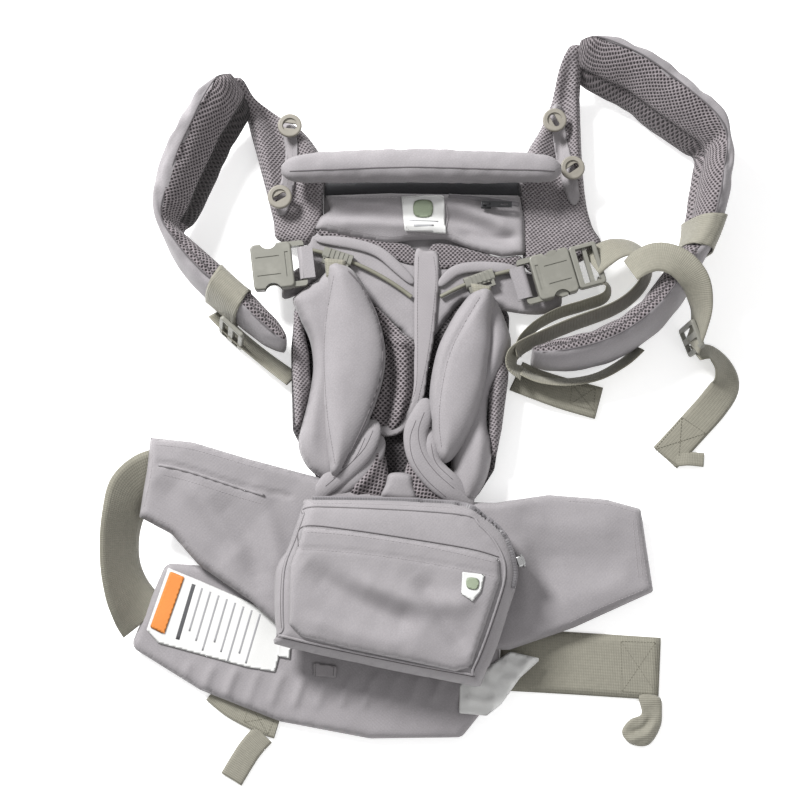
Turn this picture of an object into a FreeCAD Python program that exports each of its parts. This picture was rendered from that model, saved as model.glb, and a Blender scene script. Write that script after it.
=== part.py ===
"""Soft structured baby carrier, laid out flat on a table with its outer side up.

The waist belt lies at -Y, the head support and the two padded shoulder straps at +Y, and +Z is up.
Every sewn panel is a plain closed solid of its outline and thickness, with a foam core where it is padded.
The plastic hardware is modelled in full: side release buckles, cord sliders, buttons, strap locks and zips.
Sizes are in millimetres.
"""

import math
import os

import FreeCAD
import Part
from FreeCAD import Vector

# ---- driving dimensions --------------------------------------------------------------------------
CENTRE = Vector(1.675, 5.595, 0)  # middle of the laid-out carrier in the outlines below, moved to the origin
SHOULDER_WEBBING = 30.0
WAIST_WEBBING = 48.0
WEBBING_THICK = 1.8
COVER_WALL = 1.6  # cover cloth with its seam allowance
FOAM_GAP = 0.2
SEWN_GAP = 0.4  # room between neighbouring panels
STRAP_WIDTH = 66.0
STRAP_THICK = 18.0

LUMBAR_TOP = 11.0
BELT_LOW = 12.0
BELT_TOP = 26.0
RIGHT_WING_LOW = 3.0
RIGHT_WING_TOP = 17.0
WING_SEAM_LEFT = -128.0
WING_SEAM_RIGHT = 93.0
POUCH_LOW = 26.4
POUCH_TOP = 64.0

PANEL_LOW = 6.0
PANEL_TOP = 14.0
GUSSET_TOP = 24.0
LEG_PAD_LOW = 17.0
LEG_PAD_TOP = 52.0
STRAP_BASE_TOP = 20.0

PILLOW_RADIUS = 16.0
PILLOW_HALF_LENGTH = 104.0
PILLOW_Y = 207.0
PILLOW_Z = 43.0

BUTTON_RADIUS = 10.5
BUTTON_THICK = 4.0
BUTTON_LIFT = 26.0  # underside of a loop button above the table
BUTTON_SLOT = (12.0, 5.0)
BUTTON_TAPE = 9.0
BOOKLET_THICK = 2.4

RAIL_RADIUS = 1.8
RAIL_Z = 18.5
SLIDER_LENGTH = 26.0

nodes = {}
zip_chains = []


def add(name, *solids):
    """Keeps the solids of one node, moved so that the whole carrier is centred on the origin."""
    shape = solids[0] if len(solids) == 1 else Part.makeCompound(list(solids))
    shape = shape.copy()
    shape.translate(CENTRE * -1)
    nodes[name] = shape


# ---- outlines and slabs --------------------------------------------------------------------------
def rounded_wire(points, radius, z=0.0):
    """Closed outline through the corner points, each corner rounded by a tangent arc."""
    corners = [Vector(x, y, z) for x, y in points]
    edges = []
    starts, arcs = [], []
    for i, corner in enumerate(corners):
        back, ahead = corners[i - 1] - corner, corners[(i + 1) % len(corners)] - corner
        shorter = min(back.Length, ahead.Length)
        back, ahead = back.normalize(), ahead.normalize()
        half = math.acos(max(-1.0, min(1.0, back.dot(ahead)))) / 2
        reach = min(radius / math.tan(half), 0.45 * shorter)
        size = reach * math.tan(half)
        middle = corner + (back + ahead).normalize() * (size / math.sin(half) - size)
        starts.append(corner + back * reach)
        arcs.append(Part.Arc(corner + back * reach, middle, corner + ahead * reach))
    for i, arc in enumerate(arcs):
        edges.append(arc.toShape())
        end = arc.EndPoint
        following = starts[(i + 1) % len(starts)]
        if (following - end).Length > 1e-6:
            edges.append(Part.LineSegment(end, following).toShape())
    return Part.Wire(edges)


def slab(points, radius, low, high):
    """Flat sheet or panel of the outline, from low to high."""
    return Part.Face(rounded_wire(points, radius, low)).extrude(Vector(0, 0, high - low))


def padded_slab(points, radius, low, high):
    """Cover and foam core of a flat quilted panel."""
    outer = Part.Face(rounded_wire(points, radius, low))
    inner = outer.makeOffset2D(-COVER_WALL)
    hollow = inner.extrude(Vector(0, 0, high - low - 2 * COVER_WALL))
    hollow.translate(Vector(0, 0, COVER_WALL))
    core = outer.makeOffset2D(-COVER_WALL - FOAM_GAP)
    core = core.extrude(Vector(0, 0, high - low - 2 * COVER_WALL - 2 * FOAM_GAP))
    core.translate(Vector(0, 0, COVER_WALL + FOAM_GAP))
    cover = outer.extrude(Vector(0, 0, high - low)).cut(hollow)
    return cover, core


def shrunk(points, share, middle=None):
    """The outline drawn in towards its middle, to share of its size."""
    cx = sum(x for x, _ in points) / len(points) if middle is None else middle[0]
    cy = sum(y for _, y in points) / len(points) if middle is None else middle[1]
    return [(cx + (x - cx) * share, cy + (y - cy) * share) for x, y in points]


def crowned(points, radius, levels):
    """Cushion of the outline: levels lists (height, share of the outline) from the bottom up."""
    wires = [rounded_wire(shrunk(points, share), radius * share, height) for height, share in levels]
    return Part.makeLoft(wires, True, True)


def crowned_pad(points, radius, levels):
    """Cover and foam core of a crowned cushion."""
    outer = crowned(points, radius, levels)
    low, high = levels[0][0], levels[-1][0]

    def inside(wall, keep):
        squeezed = []
        for height, share in levels:
            t = (height - low) / (high - low)
            squeezed.append((low + wall + t * (high - low - 2 * wall), share * keep))
        return crowned(points, radius, squeezed)

    return outer.cut(inside(COVER_WALL, 0.93)), inside(COVER_WALL + FOAM_GAP, 0.90)


# ---- straps --------------------------------------------------------------------------------------
def centreline(points, radius):
    """Open run of straight lines joined by tangent arcs in the table plane."""
    corners = [Vector(x, y, 0) for x, y in points]
    edges = []
    here = corners[0]
    for i in range(1, len(corners) - 1):
        back, ahead = corners[i - 1] - corners[i], corners[i + 1] - corners[i]
        shorter = min(back.Length, ahead.Length)
        back, ahead = back.normalize(), ahead.normalize()
        half = math.acos(max(-1.0, min(1.0, back.dot(ahead)))) / 2
        reach = min(radius / math.tan(half), 0.45 * shorter)
        size = reach * math.tan(half)
        middle = corners[i] + (back + ahead).normalize() * (size / math.sin(half) - size)
        start, end = corners[i] + back * reach, corners[i] + ahead * reach
        edges.append(Part.LineSegment(here, start).toShape())
        edges.append(Part.Arc(start, middle, end).toShape())
        here = end
    edges.append(Part.LineSegment(here, corners[-1]).toShape())
    return Part.Wire(edges)


def strip_along(points, radius, wide, low, tall):
    """Strip that is wide across its centreline, seen from above, and tall upwards from low."""
    path = centreline(points, radius)
    first = path.OrderedEdges[0]
    start = first.valueAt(first.FirstParameter)
    heading = first.tangentAt(first.FirstParameter)
    side = Vector(-heading.y, heading.x, 0) * (wide / 2)
    corners = [start + side, start - side]
    corners = [corners[0], corners[1], corners[1] + Vector(0, 0, tall), corners[0] + Vector(0, 0, tall)]
    profile = Part.makePolygon(corners + [corners[0]])
    solid = path.makePipeShell([profile], True, False)
    solid.translate(Vector(0, 0, low))
    return solid


def standing_webbing(points, radius, low, width):
    """Webbing that stands on its edge on the table."""
    return strip_along(points, radius, WEBBING_THICK, low, width)


def band_placement(start, heading_deg, lean_deg):
    """Frame of a leaning band: X along it, Y up its face and Z through its thickness."""
    lean = FreeCAD.Rotation(Vector(1, 0, 0), lean_deg)
    turn = FreeCAD.Rotation(Vector(0, 0, 1), heading_deg)
    return FreeCAD.Placement(start, turn.multiply(lean))


def leaning_band(start, end, lean_deg, centre_z, width, thick, grow=0.0, shorter=0.0):
    """Straight padded band between two points, leaning by lean_deg from the table about its own length."""
    run = Vector(end[0] - start[0], end[1] - start[1], 0)
    heading = math.degrees(math.atan2(run.y, run.x))
    w, t = width + 2 * grow, thick + 2 * grow
    block = Part.makeBox(run.Length - 2 * shorter, w, t, Vector(shorter, -w / 2, -t / 2))
    long_edges = [e for e in block.Edges if abs(e.Length - (run.Length - 2 * shorter)) < 1e-6]
    block = block.makeFillet(min(t, w) * 0.42, long_edges)
    block.Placement = band_placement(Vector(start[0], start[1], centre_z), heading, lean_deg)
    return block


def strap_body(runs, grow):
    """Leaning runs of a shoulder strap joined into one solid."""
    joined = None
    for start, end, lean, centre_z, width in runs:
        piece = leaning_band(start, end, lean, centre_z, width, STRAP_THICK, grow, -min(grow, 0.0))
        joined = piece if joined is None else joined.fuse(piece)
    return joined.removeSplitter()


# ---- waist belt ----------------------------------------------------------------------------------
def lumbar_pad():
    outline = [(-216, -128), (-174, -131), (-77, -159), (66, -159), (65, -234), (33, -273),
               (-43, -274), (-118, -260), (-185, -234), (-244, -198)]
    cover, core = padded_slab(outline, 8, 0, LUMBAR_TOP)
    add("lumbar_pad_cover", cover)
    add("lumbar_pad_foam", core)


def waist_belt():
    left, right = WING_SEAM_LEFT + SEWN_GAP, WING_SEAM_RIGHT - SEWN_GAP
    centre = [(left, -46), (-65, -73), (right, -76), (right, -208), (65, -216), (left, -198)]
    cover, core = padded_slab(centre, 3, BELT_LOW, BELT_TOP)
    add("waist_belt_cover", cover)
    add("waist_belt_foam", core)

    left_wing = [(-230, -27), (-183, -32), (WING_SEAM_LEFT, -46), (WING_SEAM_LEFT, -189),
                 (-152, -163), (-186, -128), (-217, -102), (-228, -72)]
    cover, core = padded_slab(left_wing, 4, BELT_LOW, BELT_TOP)
    add("left_wing_cover", cover)
    add("left_wing_foam", core)
    pocket = [(-216, -50), (-166, -60), (-133, -76), (-133, -174), (-152, -154), (-186, -122), (-213, -98)]
    add("left_wing_pocket", slab(pocket, 3, BELT_TOP, BELT_TOP + 1.4))

    right_wing = [(WING_SEAM_RIGHT, -76), (150, -69), (188, -82), (198, -160), (148, -181),
                  (WING_SEAM_RIGHT, -208)]
    cover, core = padded_slab(right_wing, 4, RIGHT_WING_LOW, RIGHT_WING_TOP)
    add("right_wing_cover", cover)
    add("right_wing_foam", core)


def waist_webbing():
    loop = [(-231, -45), (-252, -56), (-264, -96), (-262, -134), (-244, -176)]
    end = [(-156, -248), (-119, -262), (-97, -266.5), (-110, -277), (-130, -281)]
    folded_end = slab(end, 1.5, 0, WEBBING_THICK)
    add("left_waist_webbing", standing_webbing(loop, 20, 1, WAIST_WEBBING * 0.9), folded_end)
    add("right_waist_webbing", slab([(99, -186), (199, -186), (199, -235), (99, -235)], 3, 0, WEBBING_THICK))
    right_keeper = [(176, -236), (198, -236), (199, -254), (186, -276), (165, -271), (176, -256)]
    left_keeper = [(-112, -277), (-131, -282), (-161, -306), (-144, -316), (-121, -287)]
    add("webbing_keepers", slab(right_keeper, 4, 0, WEBBING_THICK), slab(left_keeper, 3, 0, WEBBING_THICK))


# ---- pouch ---------------------------------------------------------------------------------------
POUCH_BASE = [(-100, -80), (47, -83), (66, -97), (80, -138), (77, -170), (45, -232), (-100, -207),
              (-126, -195),
              (-117, -132), (-108, -92)]
POUCH_FRONT = [(-92, -91), (34, -98), (50, -112), (60, -138), (57, -160), (30, -206), (-98, -196),
               (-108, -188),
               (-107, -132), (-101, -99)]


def between(a, b, share):
    return [(p[0] + (q[0] - p[0]) * share, p[1] + (q[1] - p[1]) * share) for p, q in zip(a, b)]


def grown(points, extra):
    cx = sum(x for x, _ in points) / len(points)
    cy = sum(y for _, y in points) / len(points)
    out = []
    for x, y in points:
        away = math.hypot(x - cx, y - cy)
        out.append((x + (x - cx) / away * extra, y + (y - cy) / away * extra))
    return out


def pouch():
    height = POUCH_TOP - POUCH_LOW

    def hull(inset, low, high):
        wires = [
            rounded_wire(grown(POUCH_BASE, -inset), 12, low),
            rounded_wire(grown(between(POUCH_BASE, POUCH_FRONT, 0.25), -inset), 12, low + 0.6 * (high - low)),
            rounded_wire(grown(POUCH_FRONT, -inset), 12, high),
        ]
        return Part.makeLoft(wires, True, True)

    hollow = hull(COVER_WALL, POUCH_LOW + COVER_WALL, POUCH_TOP - COVER_WALL)
    shell = hull(0, POUCH_LOW, POUCH_TOP).cut(hollow)
    add("pouch_shell", shell)
    pocket = [(-90, -116), (48, -128), (55, -160), (28, -203), (-96, -193), (-104, -186), (-101, -132)]
    add("pouch_front_pocket", slab(pocket, 6, POUCH_TOP, POUCH_TOP + 2.4))

    chain_z = POUCH_LOW + 0.5 * height
    ring = grown(between(POUCH_BASE, POUCH_FRONT, 0.2), 3.0)
    run = [ring[-1], ring[0], ring[1], ring[2], ring[3]]
    zip_chains.append(strip_along(run, 12, 1.6, chain_z - 3, 6))

    start, end = Vector(*ring[3], chain_z), Vector(*ring[2], chain_z)
    heading = math.degrees(math.atan2(end.y - start.y, end.x - start.x))
    placement = FreeCAD.Placement(start + (end - start) * 0.16, FreeCAD.Rotation(Vector(0, 0, 1), heading))
    body = Part.makeBox(9, 4.4, 7, Vector(-4.5, -5.8, -3.5))
    body = body.makeFillet(1.4, body.Edges)
    bridge = Part.makeBox(7, 2.8, 2.6, Vector(-3.5, -8.2, -1.3))
    bridge = bridge.makeFillet(0.7, bridge.Edges)
    hole = Part.makeCylinder(0.75, 12, Vector(-6, -6.8, 0), Vector(1, 0, 0))
    slider = body.fuse(bridge).cut(hole)
    slider.Placement = placement
    add("pouch_zip_slider", slider)
    pull = Part.makeBox(10.4, 1.4, 18.6, Vector(-5.2, -7.5, -18))
    corners = [e for e in pull.Edges if e.BoundBox.XLength < 0.1 and e.BoundBox.ZLength < 0.1
               and e.BoundBox.ZMin < -17]
    pull = pull.makeFillet(3.0, corners)
    pull = pull.cut(Part.makeBox(7.6, 4, 4, Vector(-3.8, -9, -2.4)))
    pull = pull.cut(Part.makeBox(4.8, 4, 9, Vector(-2.4, -9, -14.5)))
    pin = Part.makeCylinder(0.55, 9, Vector(-4.5, -6.8, 0), Vector(1, 0, 0))
    pull = pull.fuse(pin)
    pull.Placement = placement
    add("pouch_zip_pull", pull)
    pivot = placement.multVec(Vector(0, -6.8, 0)) - CENTRE
    axis = placement.Rotation.multVec(Vector(-1, 0, 0))
    print("pouch zip pull pivot", tuple(round(v, 2) for v in pivot), "axis", tuple(round(v, 4) for v in axis))


# ---- carrier body --------------------------------------------------------------------------------
def body_panels():
    seat = [(-108, 104), (-112, 55), (-110, -15), (-86, -62), (46, -74), (62, -49), (74, 28), (76, 85),
            (66, 104),
            (8, 128), (-86, 140)]
    add("seat_panel", slab(seat, 10, PANEL_LOW, PANEL_TOP))
    upper = [(-86, 210), (92, 210), (90, 144), (8, 134), (-84, 146)]
    add("upper_panel", slab(upper, 4, 3, 10))
    pocket = [(-82, 186), (84, 183), (88, 146), (33, 142), (-18, 150), (-82, 158)]
    add("hood_pocket", slab(pocket, 5, 10.4, 24))
    add("spine_strip", slab([(-7, 138), (8, 138), (13, 97), (12, 62), (7, 20), (-4, 14), (-5, 70)], 3,
                            PANEL_TOP, PANEL_TOP + 2.4))
    left = [(-109, 97), (-110, 35), (-106, -26), (-97, 5), (-94, 22), (-96, 50), (-101, 74)]
    right = [(75, 62), (62, 42), (57, 13), (57, -22), (61, -50), (68, -16), (74, 27)]
    add("mesh_gussets", slab(left, 4, PANEL_TOP, GUSSET_TOP), slab(right, 4, PANEL_TOP, GUSSET_TOP))


def leg_pads():
    left = [(-90, 120), (-64, 120), (-50, 112), (-40, 95), (-32, 62), (-29, 42), (-34, 14), (-45, -13),
            (-60, -36),
            (-76, -58), (-92, -50), (-98, -20), (-91, 20), (-93, 47), (-100, 74), (-106, 98)]
    right = [(38, 98), (60, 99), (70, 82), (74, 67), (65, 50), (56, 24), (52, -6), (53, -50), (40, -62),
             (24, -46), (11, -30), (10, 20), (14, 43), (20, 64), (29, 82)]
    levels = [(LEG_PAD_LOW, 0.9), (30, 0.96), (LEG_PAD_TOP, 0.55)]
    for side, outline in (("left", left), ("right", right)):
        cover, core = crowned_pad(outline, 6, levels)
        add(side + "_leg_pad_cover", cover, slider_tab(side))
        add(side + "_leg_pad_foam", core)


def head_pillow():
    def roll(radius, extra):
        start = Vector(-PILLOW_HALF_LENGTH, PILLOW_Y, PILLOW_Z)
        bar = Part.makeCylinder(radius, 2 * PILLOW_HALF_LENGTH, start,
                                Vector(1, 0, 0))
        for end in (-1, 1):
            cap = Part.makeSphere(radius - extra, Vector(end * PILLOW_HALF_LENGTH, PILLOW_Y, PILLOW_Z))
            bar = bar.fuse(cap)
        return bar

    add("head_pillow_cover", roll(PILLOW_RADIUS, 0.01).cut(roll(PILLOW_RADIUS - COVER_WALL, 0.01)))
    add("head_pillow_foam", roll(PILLOW_RADIUS - COVER_WALL - FOAM_GAP, 0.01))


# ---- shoulder straps -----------------------------------------------------------------------------
def strap_bases():
    left = [(-158, 268), (-150, 250), (-141, 220), (-135, 197), (-127, 169), (-123, 147), (-88, 147),
            (-88, 229),
            (-105, 260), (-117, 270), (-131, 276)]
    right = [(95, 241), (107, 271), (120, 290), (140, 290), (142, 271), (143, 223), (145, 185), (152, 164),
             (160, 146), (94, 138)]
    for side, outline, runs in (("left", left, LEFT_STRAP), ("right", right, RIGHT_STRAP)):
        base = slab(outline, 6, PANEL_LOW, STRAP_BASE_TOP).cut(strap_body(runs, 0.0))
        add(side + "_strap_base", base)
    left_yoke = [(-122, 146.4), (-87, 146.4), (-87, 141), (-109, 106), (-121, 100)]
    right_yoke = [(94, 137), (156, 145), (152, 114), (94, 90), (77, 96)]
    yoke_top = PANEL_TOP + 1
    add("side_yokes", *(slab(outline, 2, PANEL_LOW, yoke_top) for outline in (left_yoke, right_yoke)))


# start, end, lean from the table, height of the middle and width of each run between two creases
LEFT_STRAP = [
    ((-158.5, 271), (-217, 160), -74, 35, STRAP_WIDTH),
    ((-222, 150), (-128, 62), -100, 30.5, STRAP_WIDTH - 14),
]
RIGHT_STRAP = [
    ((144, 314), (250, 238), 76, 35, STRAP_WIDTH),
    ((254, 232), (240, 140), 78, 35, STRAP_WIDTH),
    ((242, 142), (190, 68), 105, 32, STRAP_WIDTH - 10),
    ((196, 70), (92, 42), 108, 29, STRAP_WIDTH - 16),
]
LEFT_KEEPER = (44, 78)  # stretch of the lower run that the elastic keeper covers
RIGHT_KEEPER = (56, 82)
CHEST_BAND = (28, 56)


def shoulder_straps():
    for side, runs in (("left", LEFT_STRAP), ("right", RIGHT_STRAP)):
        add(side + "_shoulder_strap_cover", strap_body(runs, 0.0).cut(strap_body(runs, -COVER_WALL)))
        add(side + "_shoulder_strap_foam", strap_body(runs, -COVER_WALL - FOAM_GAP))


# ---- plastic hardware ----------------------------------------------------------------------------
def place(shape, x, y, z, heading):
    shape = shape.copy()
    shape.Placement = FreeCAD.Placement(Vector(x, y, z), FreeCAD.Rotation(Vector(0, 0, 1), heading)).multiply(
        shape.Placement)
    return shape


def upright_fillet(shape, radius, tall):
    """Rounds the upright edges of that height."""
    edges = [e for e in shape.Edges if e.BoundBox.ZLength > tall - 1e-3
             and e.BoundBox.XLength < 1e-3 and e.BoundBox.YLength < 1e-3]
    return shape.makeFillet(radius, edges) if edges else shape


RECEIVER = dict(length=46.0, half=20.0, thick=11.0, mouth_half=15.5, slot=(4.0, 14.0))
PRONG_ROOT = 46.5


def buckle_receiver():
    """Female half of a side release buckle: X runs from its webbing bar to its mouth."""
    length, half, thick = RECEIVER["length"], RECEIVER["half"], RECEIVER["thick"]
    body = Part.makeBox(length - 11, 2 * half, thick, Vector(11, -half, -thick / 2))
    body = upright_fillet(body, 4, thick)
    body = body.makeFillet(1.6, [e for e in body.Edges if e.BoundBox.ZLength < 1e-3])
    rails = Part.makeBox(16, 2 * half, 6, Vector(0, -half, -3))
    rails = upright_fillet(rails, 3, 6)
    slot = Part.makeBox(10, 2 * RECEIVER["mouth_half"], 20, Vector(4, -RECEIVER["mouth_half"], -10))
    rails = rails.cut(slot)
    bar = Part.makeCylinder(2.0, 2 * half - 5, Vector(2, -half + 2.5, 0), Vector(0, 1, 0))
    gap = Part.makeBox(4.2, 2 * RECEIVER["mouth_half"], 20, Vector(-0.1, -RECEIVER["mouth_half"], -10))
    frame = rails.cut(gap).fuse(bar)
    body = body.fuse(frame)
    mouth = RECEIVER["mouth_half"]
    cavity = Part.makeBox(length - 18, 2 * mouth, 6.6, Vector(18, -mouth, -3.3))
    body = body.cut(cavity)
    for side in (-1, 1):
        window = Part.makeCylinder(7.5, 20, Vector(30, side * (half + 2.5), -10), Vector(0, 0, 1))
        body = body.cut(window)
        opening = Part.makeBox(15, 8, 6.6, Vector(22.5, min(side * half, side * half - side * 7.9), -3.3))
        body = body.cut(opening)
    groove = Part.makeBox(20, 1.0, 1.0, Vector(22, -0.5, thick / 2 - 0.6))
    for y in (-8, 8):
        body = body.cut(groove.translated(Vector(0, y, 0)))
    recess = Part.makeBox(3, 22, 1.2, Vector(14.2, -11, thick / 2 - 0.7))
    return body.cut(recess)


def buckle_insert():
    """Body of the male half: webbing ladder, shoulder and centre tongue."""
    ladder = Part.makeBox(24, 38, 9, Vector(PRONG_ROOT, -19, -4.5))
    ladder = upright_fillet(ladder, 3, 9)
    ladder = ladder.makeFillet(1.4, [e for e in ladder.Edges if e.BoundBox.ZLength < 1e-3])
    for start, wide in ((51.5, 6.0), (61.0, 5.5)):
        ladder = ladder.cut(Part.makeBox(wide, 31, 20, Vector(start, -15.5, -10)))
    ladder = ladder.cut(Part.makeBox(4.0, 31, 3.2, Vector(57.3, -15.5, 2.2)))
    tongue = Part.makeBox(25, 3.6, 5, Vector(22, -1.8, -2.5))
    tongue = tongue.makeFillet(1.0, [e for e in tongue.Edges if e.BoundBox.XLength < 1e-3
                                     and e.BoundBox.ZLength > 4.9])
    return ladder.fuse(tongue)


def buckle_prong(side):
    """One sprung arm of the male half; side is +1 or -1 across the buckle."""
    arm = [(PRONG_ROOT - 0.3, 8.6), (PRONG_ROOT - 0.3, 12.2), (37.0, 12.4), (35.6, 20.4), (30.0, 20.8),
           (24.5, 17.4), (21.5, 12.6), (22.0, 9.4), (30.0, 8.6)]
    outline = [(x, side * y) for x, y in arm]
    if side < 0:
        outline.reverse()
    return slab(outline, 1.2, -2.8, 2.8)


def fabric_loop(length, width):
    """Folded fabric loop round a buckle bar at the origin: two plates that run back along -X."""
    inner, outer = 2.5, 4.1
    ring = Part.makeCylinder(outer, width, Vector(0, -width / 2, 0), Vector(0, 1, 0))
    hole = Part.makeCylinder(inner, width + 2, Vector(0, -width / 2 - 1, 0), Vector(0, 1, 0))
    plate_low = Part.makeBox(length, width, outer - inner, Vector(-length, -width / 2, -outer))
    plate_high = Part.makeBox(length, width, outer - inner, Vector(-length, -width / 2, inner))
    back = Part.makeBox(2 * outer, width + 4, 2 * inner, Vector(-2 * outer, -width / 2 - 2, -inner))
    return ring.cut(back).cut(hole).fuse(plate_low).fuse(plate_high)


RIGHT_BUCKLE = (86, 110, 25.6, 15.4)  # bar position, height and heading
LEFT_BUCKLE = (-99, 127, 29.0, 187.0)


def buckles():
    x, y, z, heading = RIGHT_BUCKLE
    add("right_buckle_receiver", place(buckle_receiver(), x, y, z, heading))
    add("right_buckle_insert", place(buckle_insert(), x, y, z, heading))
    add("right_buckle_prong_upper", place(buckle_prong(1), x, y, z, heading))
    add("right_buckle_prong_lower", place(buckle_prong(-1), x, y, z, heading))
    loop = fabric_loop(9, SHOULDER_WEBBING - 2)
    loop.translate(Vector(2, 0, 0))
    right_loop = place(loop, x, y, z, heading)
    turn = FreeCAD.Rotation(Vector(0, 0, 1), heading)
    for side, name in ((1, "upper"), (-1, "lower")):
        pivot = Vector(x, y, z) + turn.multVec(Vector(PRONG_ROOT - 0.3, side * 10.4, 0)) - CENTRE
        print("prong pivot", name, tuple(round(v, 2) for v in pivot))
    x, y, z, heading = LEFT_BUCKLE
    add("left_buckle_receiver", place(buckle_receiver(), x, y, z, heading))
    add("buckle_loops", place(loop, x, y, z, heading), right_loop)
    turn = FreeCAD.Rotation(Vector(0, 0, 1), heading)
    pivot = Vector(x, y, z) + turn.multVec(Vector(2, 0, 0)) - CENTRE
    axis = turn.multVec(Vector(0, -1, 0))
    print("left buckle pivot", tuple(round(v, 2) for v in pivot), "axis", tuple(round(v, 4) for v in axis))


def button(x, y, heading):
    """Loop button: a rimmed disc with a recessed middle and one slot for its tape."""
    disc = Part.makeCylinder(BUTTON_RADIUS, BUTTON_THICK)
    disc = disc.makeFillet(1.5, [e for e in disc.Edges if e.BoundBox.XLength > BUTTON_RADIUS])
    disc = disc.cut(Part.makeCylinder(BUTTON_RADIUS - 4, 2.0, Vector(0, 0, BUTTON_THICK - 1.4)))
    long, wide = BUTTON_SLOT
    slot = Part.makeBox(long, wide, 10, Vector(-long / 2, -wide / 2, -3))
    slot = upright_fillet(slot, 2.2, 10)
    return place(disc.cut(slot), x, y, BUTTON_LIFT, heading)


BUTTONS = {
    "left_upper_button": (-114, 250, -8),
    "left_lower_button": (-122, 186, 30),
    "right_upper_button": (116, 255, -62),
    "right_lower_button": (131, 212, 35),
}


def buttons():
    tapes = []
    for name, (x, y, heading) in BUTTONS.items():
        add(name, button(x, y, heading))
        post = Part.makeBox(8, 1.4, BUTTON_LIFT + 3 - STRAP_BASE_TOP - 1.2,
                            Vector(-4, -0.7, STRAP_BASE_TOP + 1.2 - BUTTON_LIFT))
        tapes.append(place(post, x, y, BUTTON_LIFT, heading))
    strips = (
        strip_along([(-116, 264), (-112, 206), (-120, 176)], 10, BUTTON_TAPE, STRAP_BASE_TOP, 1.2),
        strip_along([(117, 280), (118, 240), (133, 205), (134, 188)], 10, BUTTON_TAPE, STRAP_BASE_TOP, 1.2),
    )
    left = strips[0].fuse(tapes[0]).fuse(tapes[1])
    right = strips[1].fuse(tapes[2]).fuse(tapes[3])
    add("button_tapes", left, right)


# each rail is an arc about the point that its leg pad swings round:
# pivot, radius, first and last angle, slider angle
RAILS = {
    "left": ((-136, -55), 200.5, 80.5, 50.5, 71.4),
    "right": ((118, -76), 203.0, 120.0, 98.5, 109.6),
}


def on_rail(side, angle_deg):
    (cx, cy), radius = RAILS[side][:2]
    angle = math.radians(angle_deg)
    return Vector(cx + radius * math.cos(angle), cy + radius * math.sin(angle), RAIL_Z)


def at_slider(side, shape):
    """Puts a shape that is modelled along X on the rail, where the slider sits at rest."""
    angle = RAILS[side][4]
    spot = on_rail(side, angle)
    return place(shape, spot.x, spot.y, spot.z, angle - 90)


def slider_tab(side):
    """Fabric tab that joins a leg pad to the ear of its slider."""
    half = SLIDER_LENGTH / 2
    tab = Part.makeBox(SLIDER_LENGTH - 10, 7.5, 1.4, Vector(-half + 5, -16.6, 4.2))
    fold = Part.makeBox(SLIDER_LENGTH - 10, 1.4, 6.4, Vector(-half + 5, -11.3, -1.2))
    return at_slider(side, tab.fuse(fold))


def seat_slider():
    """Plastic tube that slides on the rail cord, with ridges on top and a slotted ear for the fabric tab."""
    half = SLIDER_LENGTH / 2
    clip = Part.makeBox(SLIDER_LENGTH, 10, 8.6, Vector(-half, -5, -4.0))
    clip = clip.makeFillet(2.4, [e for e in clip.Edges if e.BoundBox.XLength > SLIDER_LENGTH - 1])
    bore = Part.makeCylinder(RAIL_RADIUS + 0.7, SLIDER_LENGTH + 2, Vector(-half - 1, 0, 0), Vector(1, 0, 0))
    clip = clip.cut(bore)
    ear = Part.makeBox(SLIDER_LENGTH - 3, 6, 3.2, Vector(-half + 1.5, -9.8, 0.6))
    ear = ear.cut(Part.makeBox(SLIDER_LENGTH - 9, 2.6, 6, Vector(-half + 4.5, -8.2, -0.6)))
    clip = clip.fuse(ear)
    for step in (-8, -4, 0, 4, 8):
        clip = clip.fuse(Part.makeBox(2, 8, 0.8, Vector(step - 1, -4, 4.4)))
    return clip


def seat_rails():
    rails = []
    for side, (_, _, first, last, _) in RAILS.items():
        path = Part.Wire(Part.Arc(on_rail(side, first), on_rail(side, (first + last) / 2),
                                  on_rail(side, last)).toShape())
        edge = path.Edges[0]
        start = edge.valueAt(edge.FirstParameter)
        circle = Part.Circle(start, edge.tangentAt(edge.FirstParameter), RAIL_RADIUS)
        rails.append(path.makePipeShell([Part.Wire(circle.toShape())], True, False))
        add(side + "_seat_slider", at_slider(side, seat_slider()))
    add("seat_rails", *rails)


HOOD_ZIP_AT = (56, 179.3)


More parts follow.
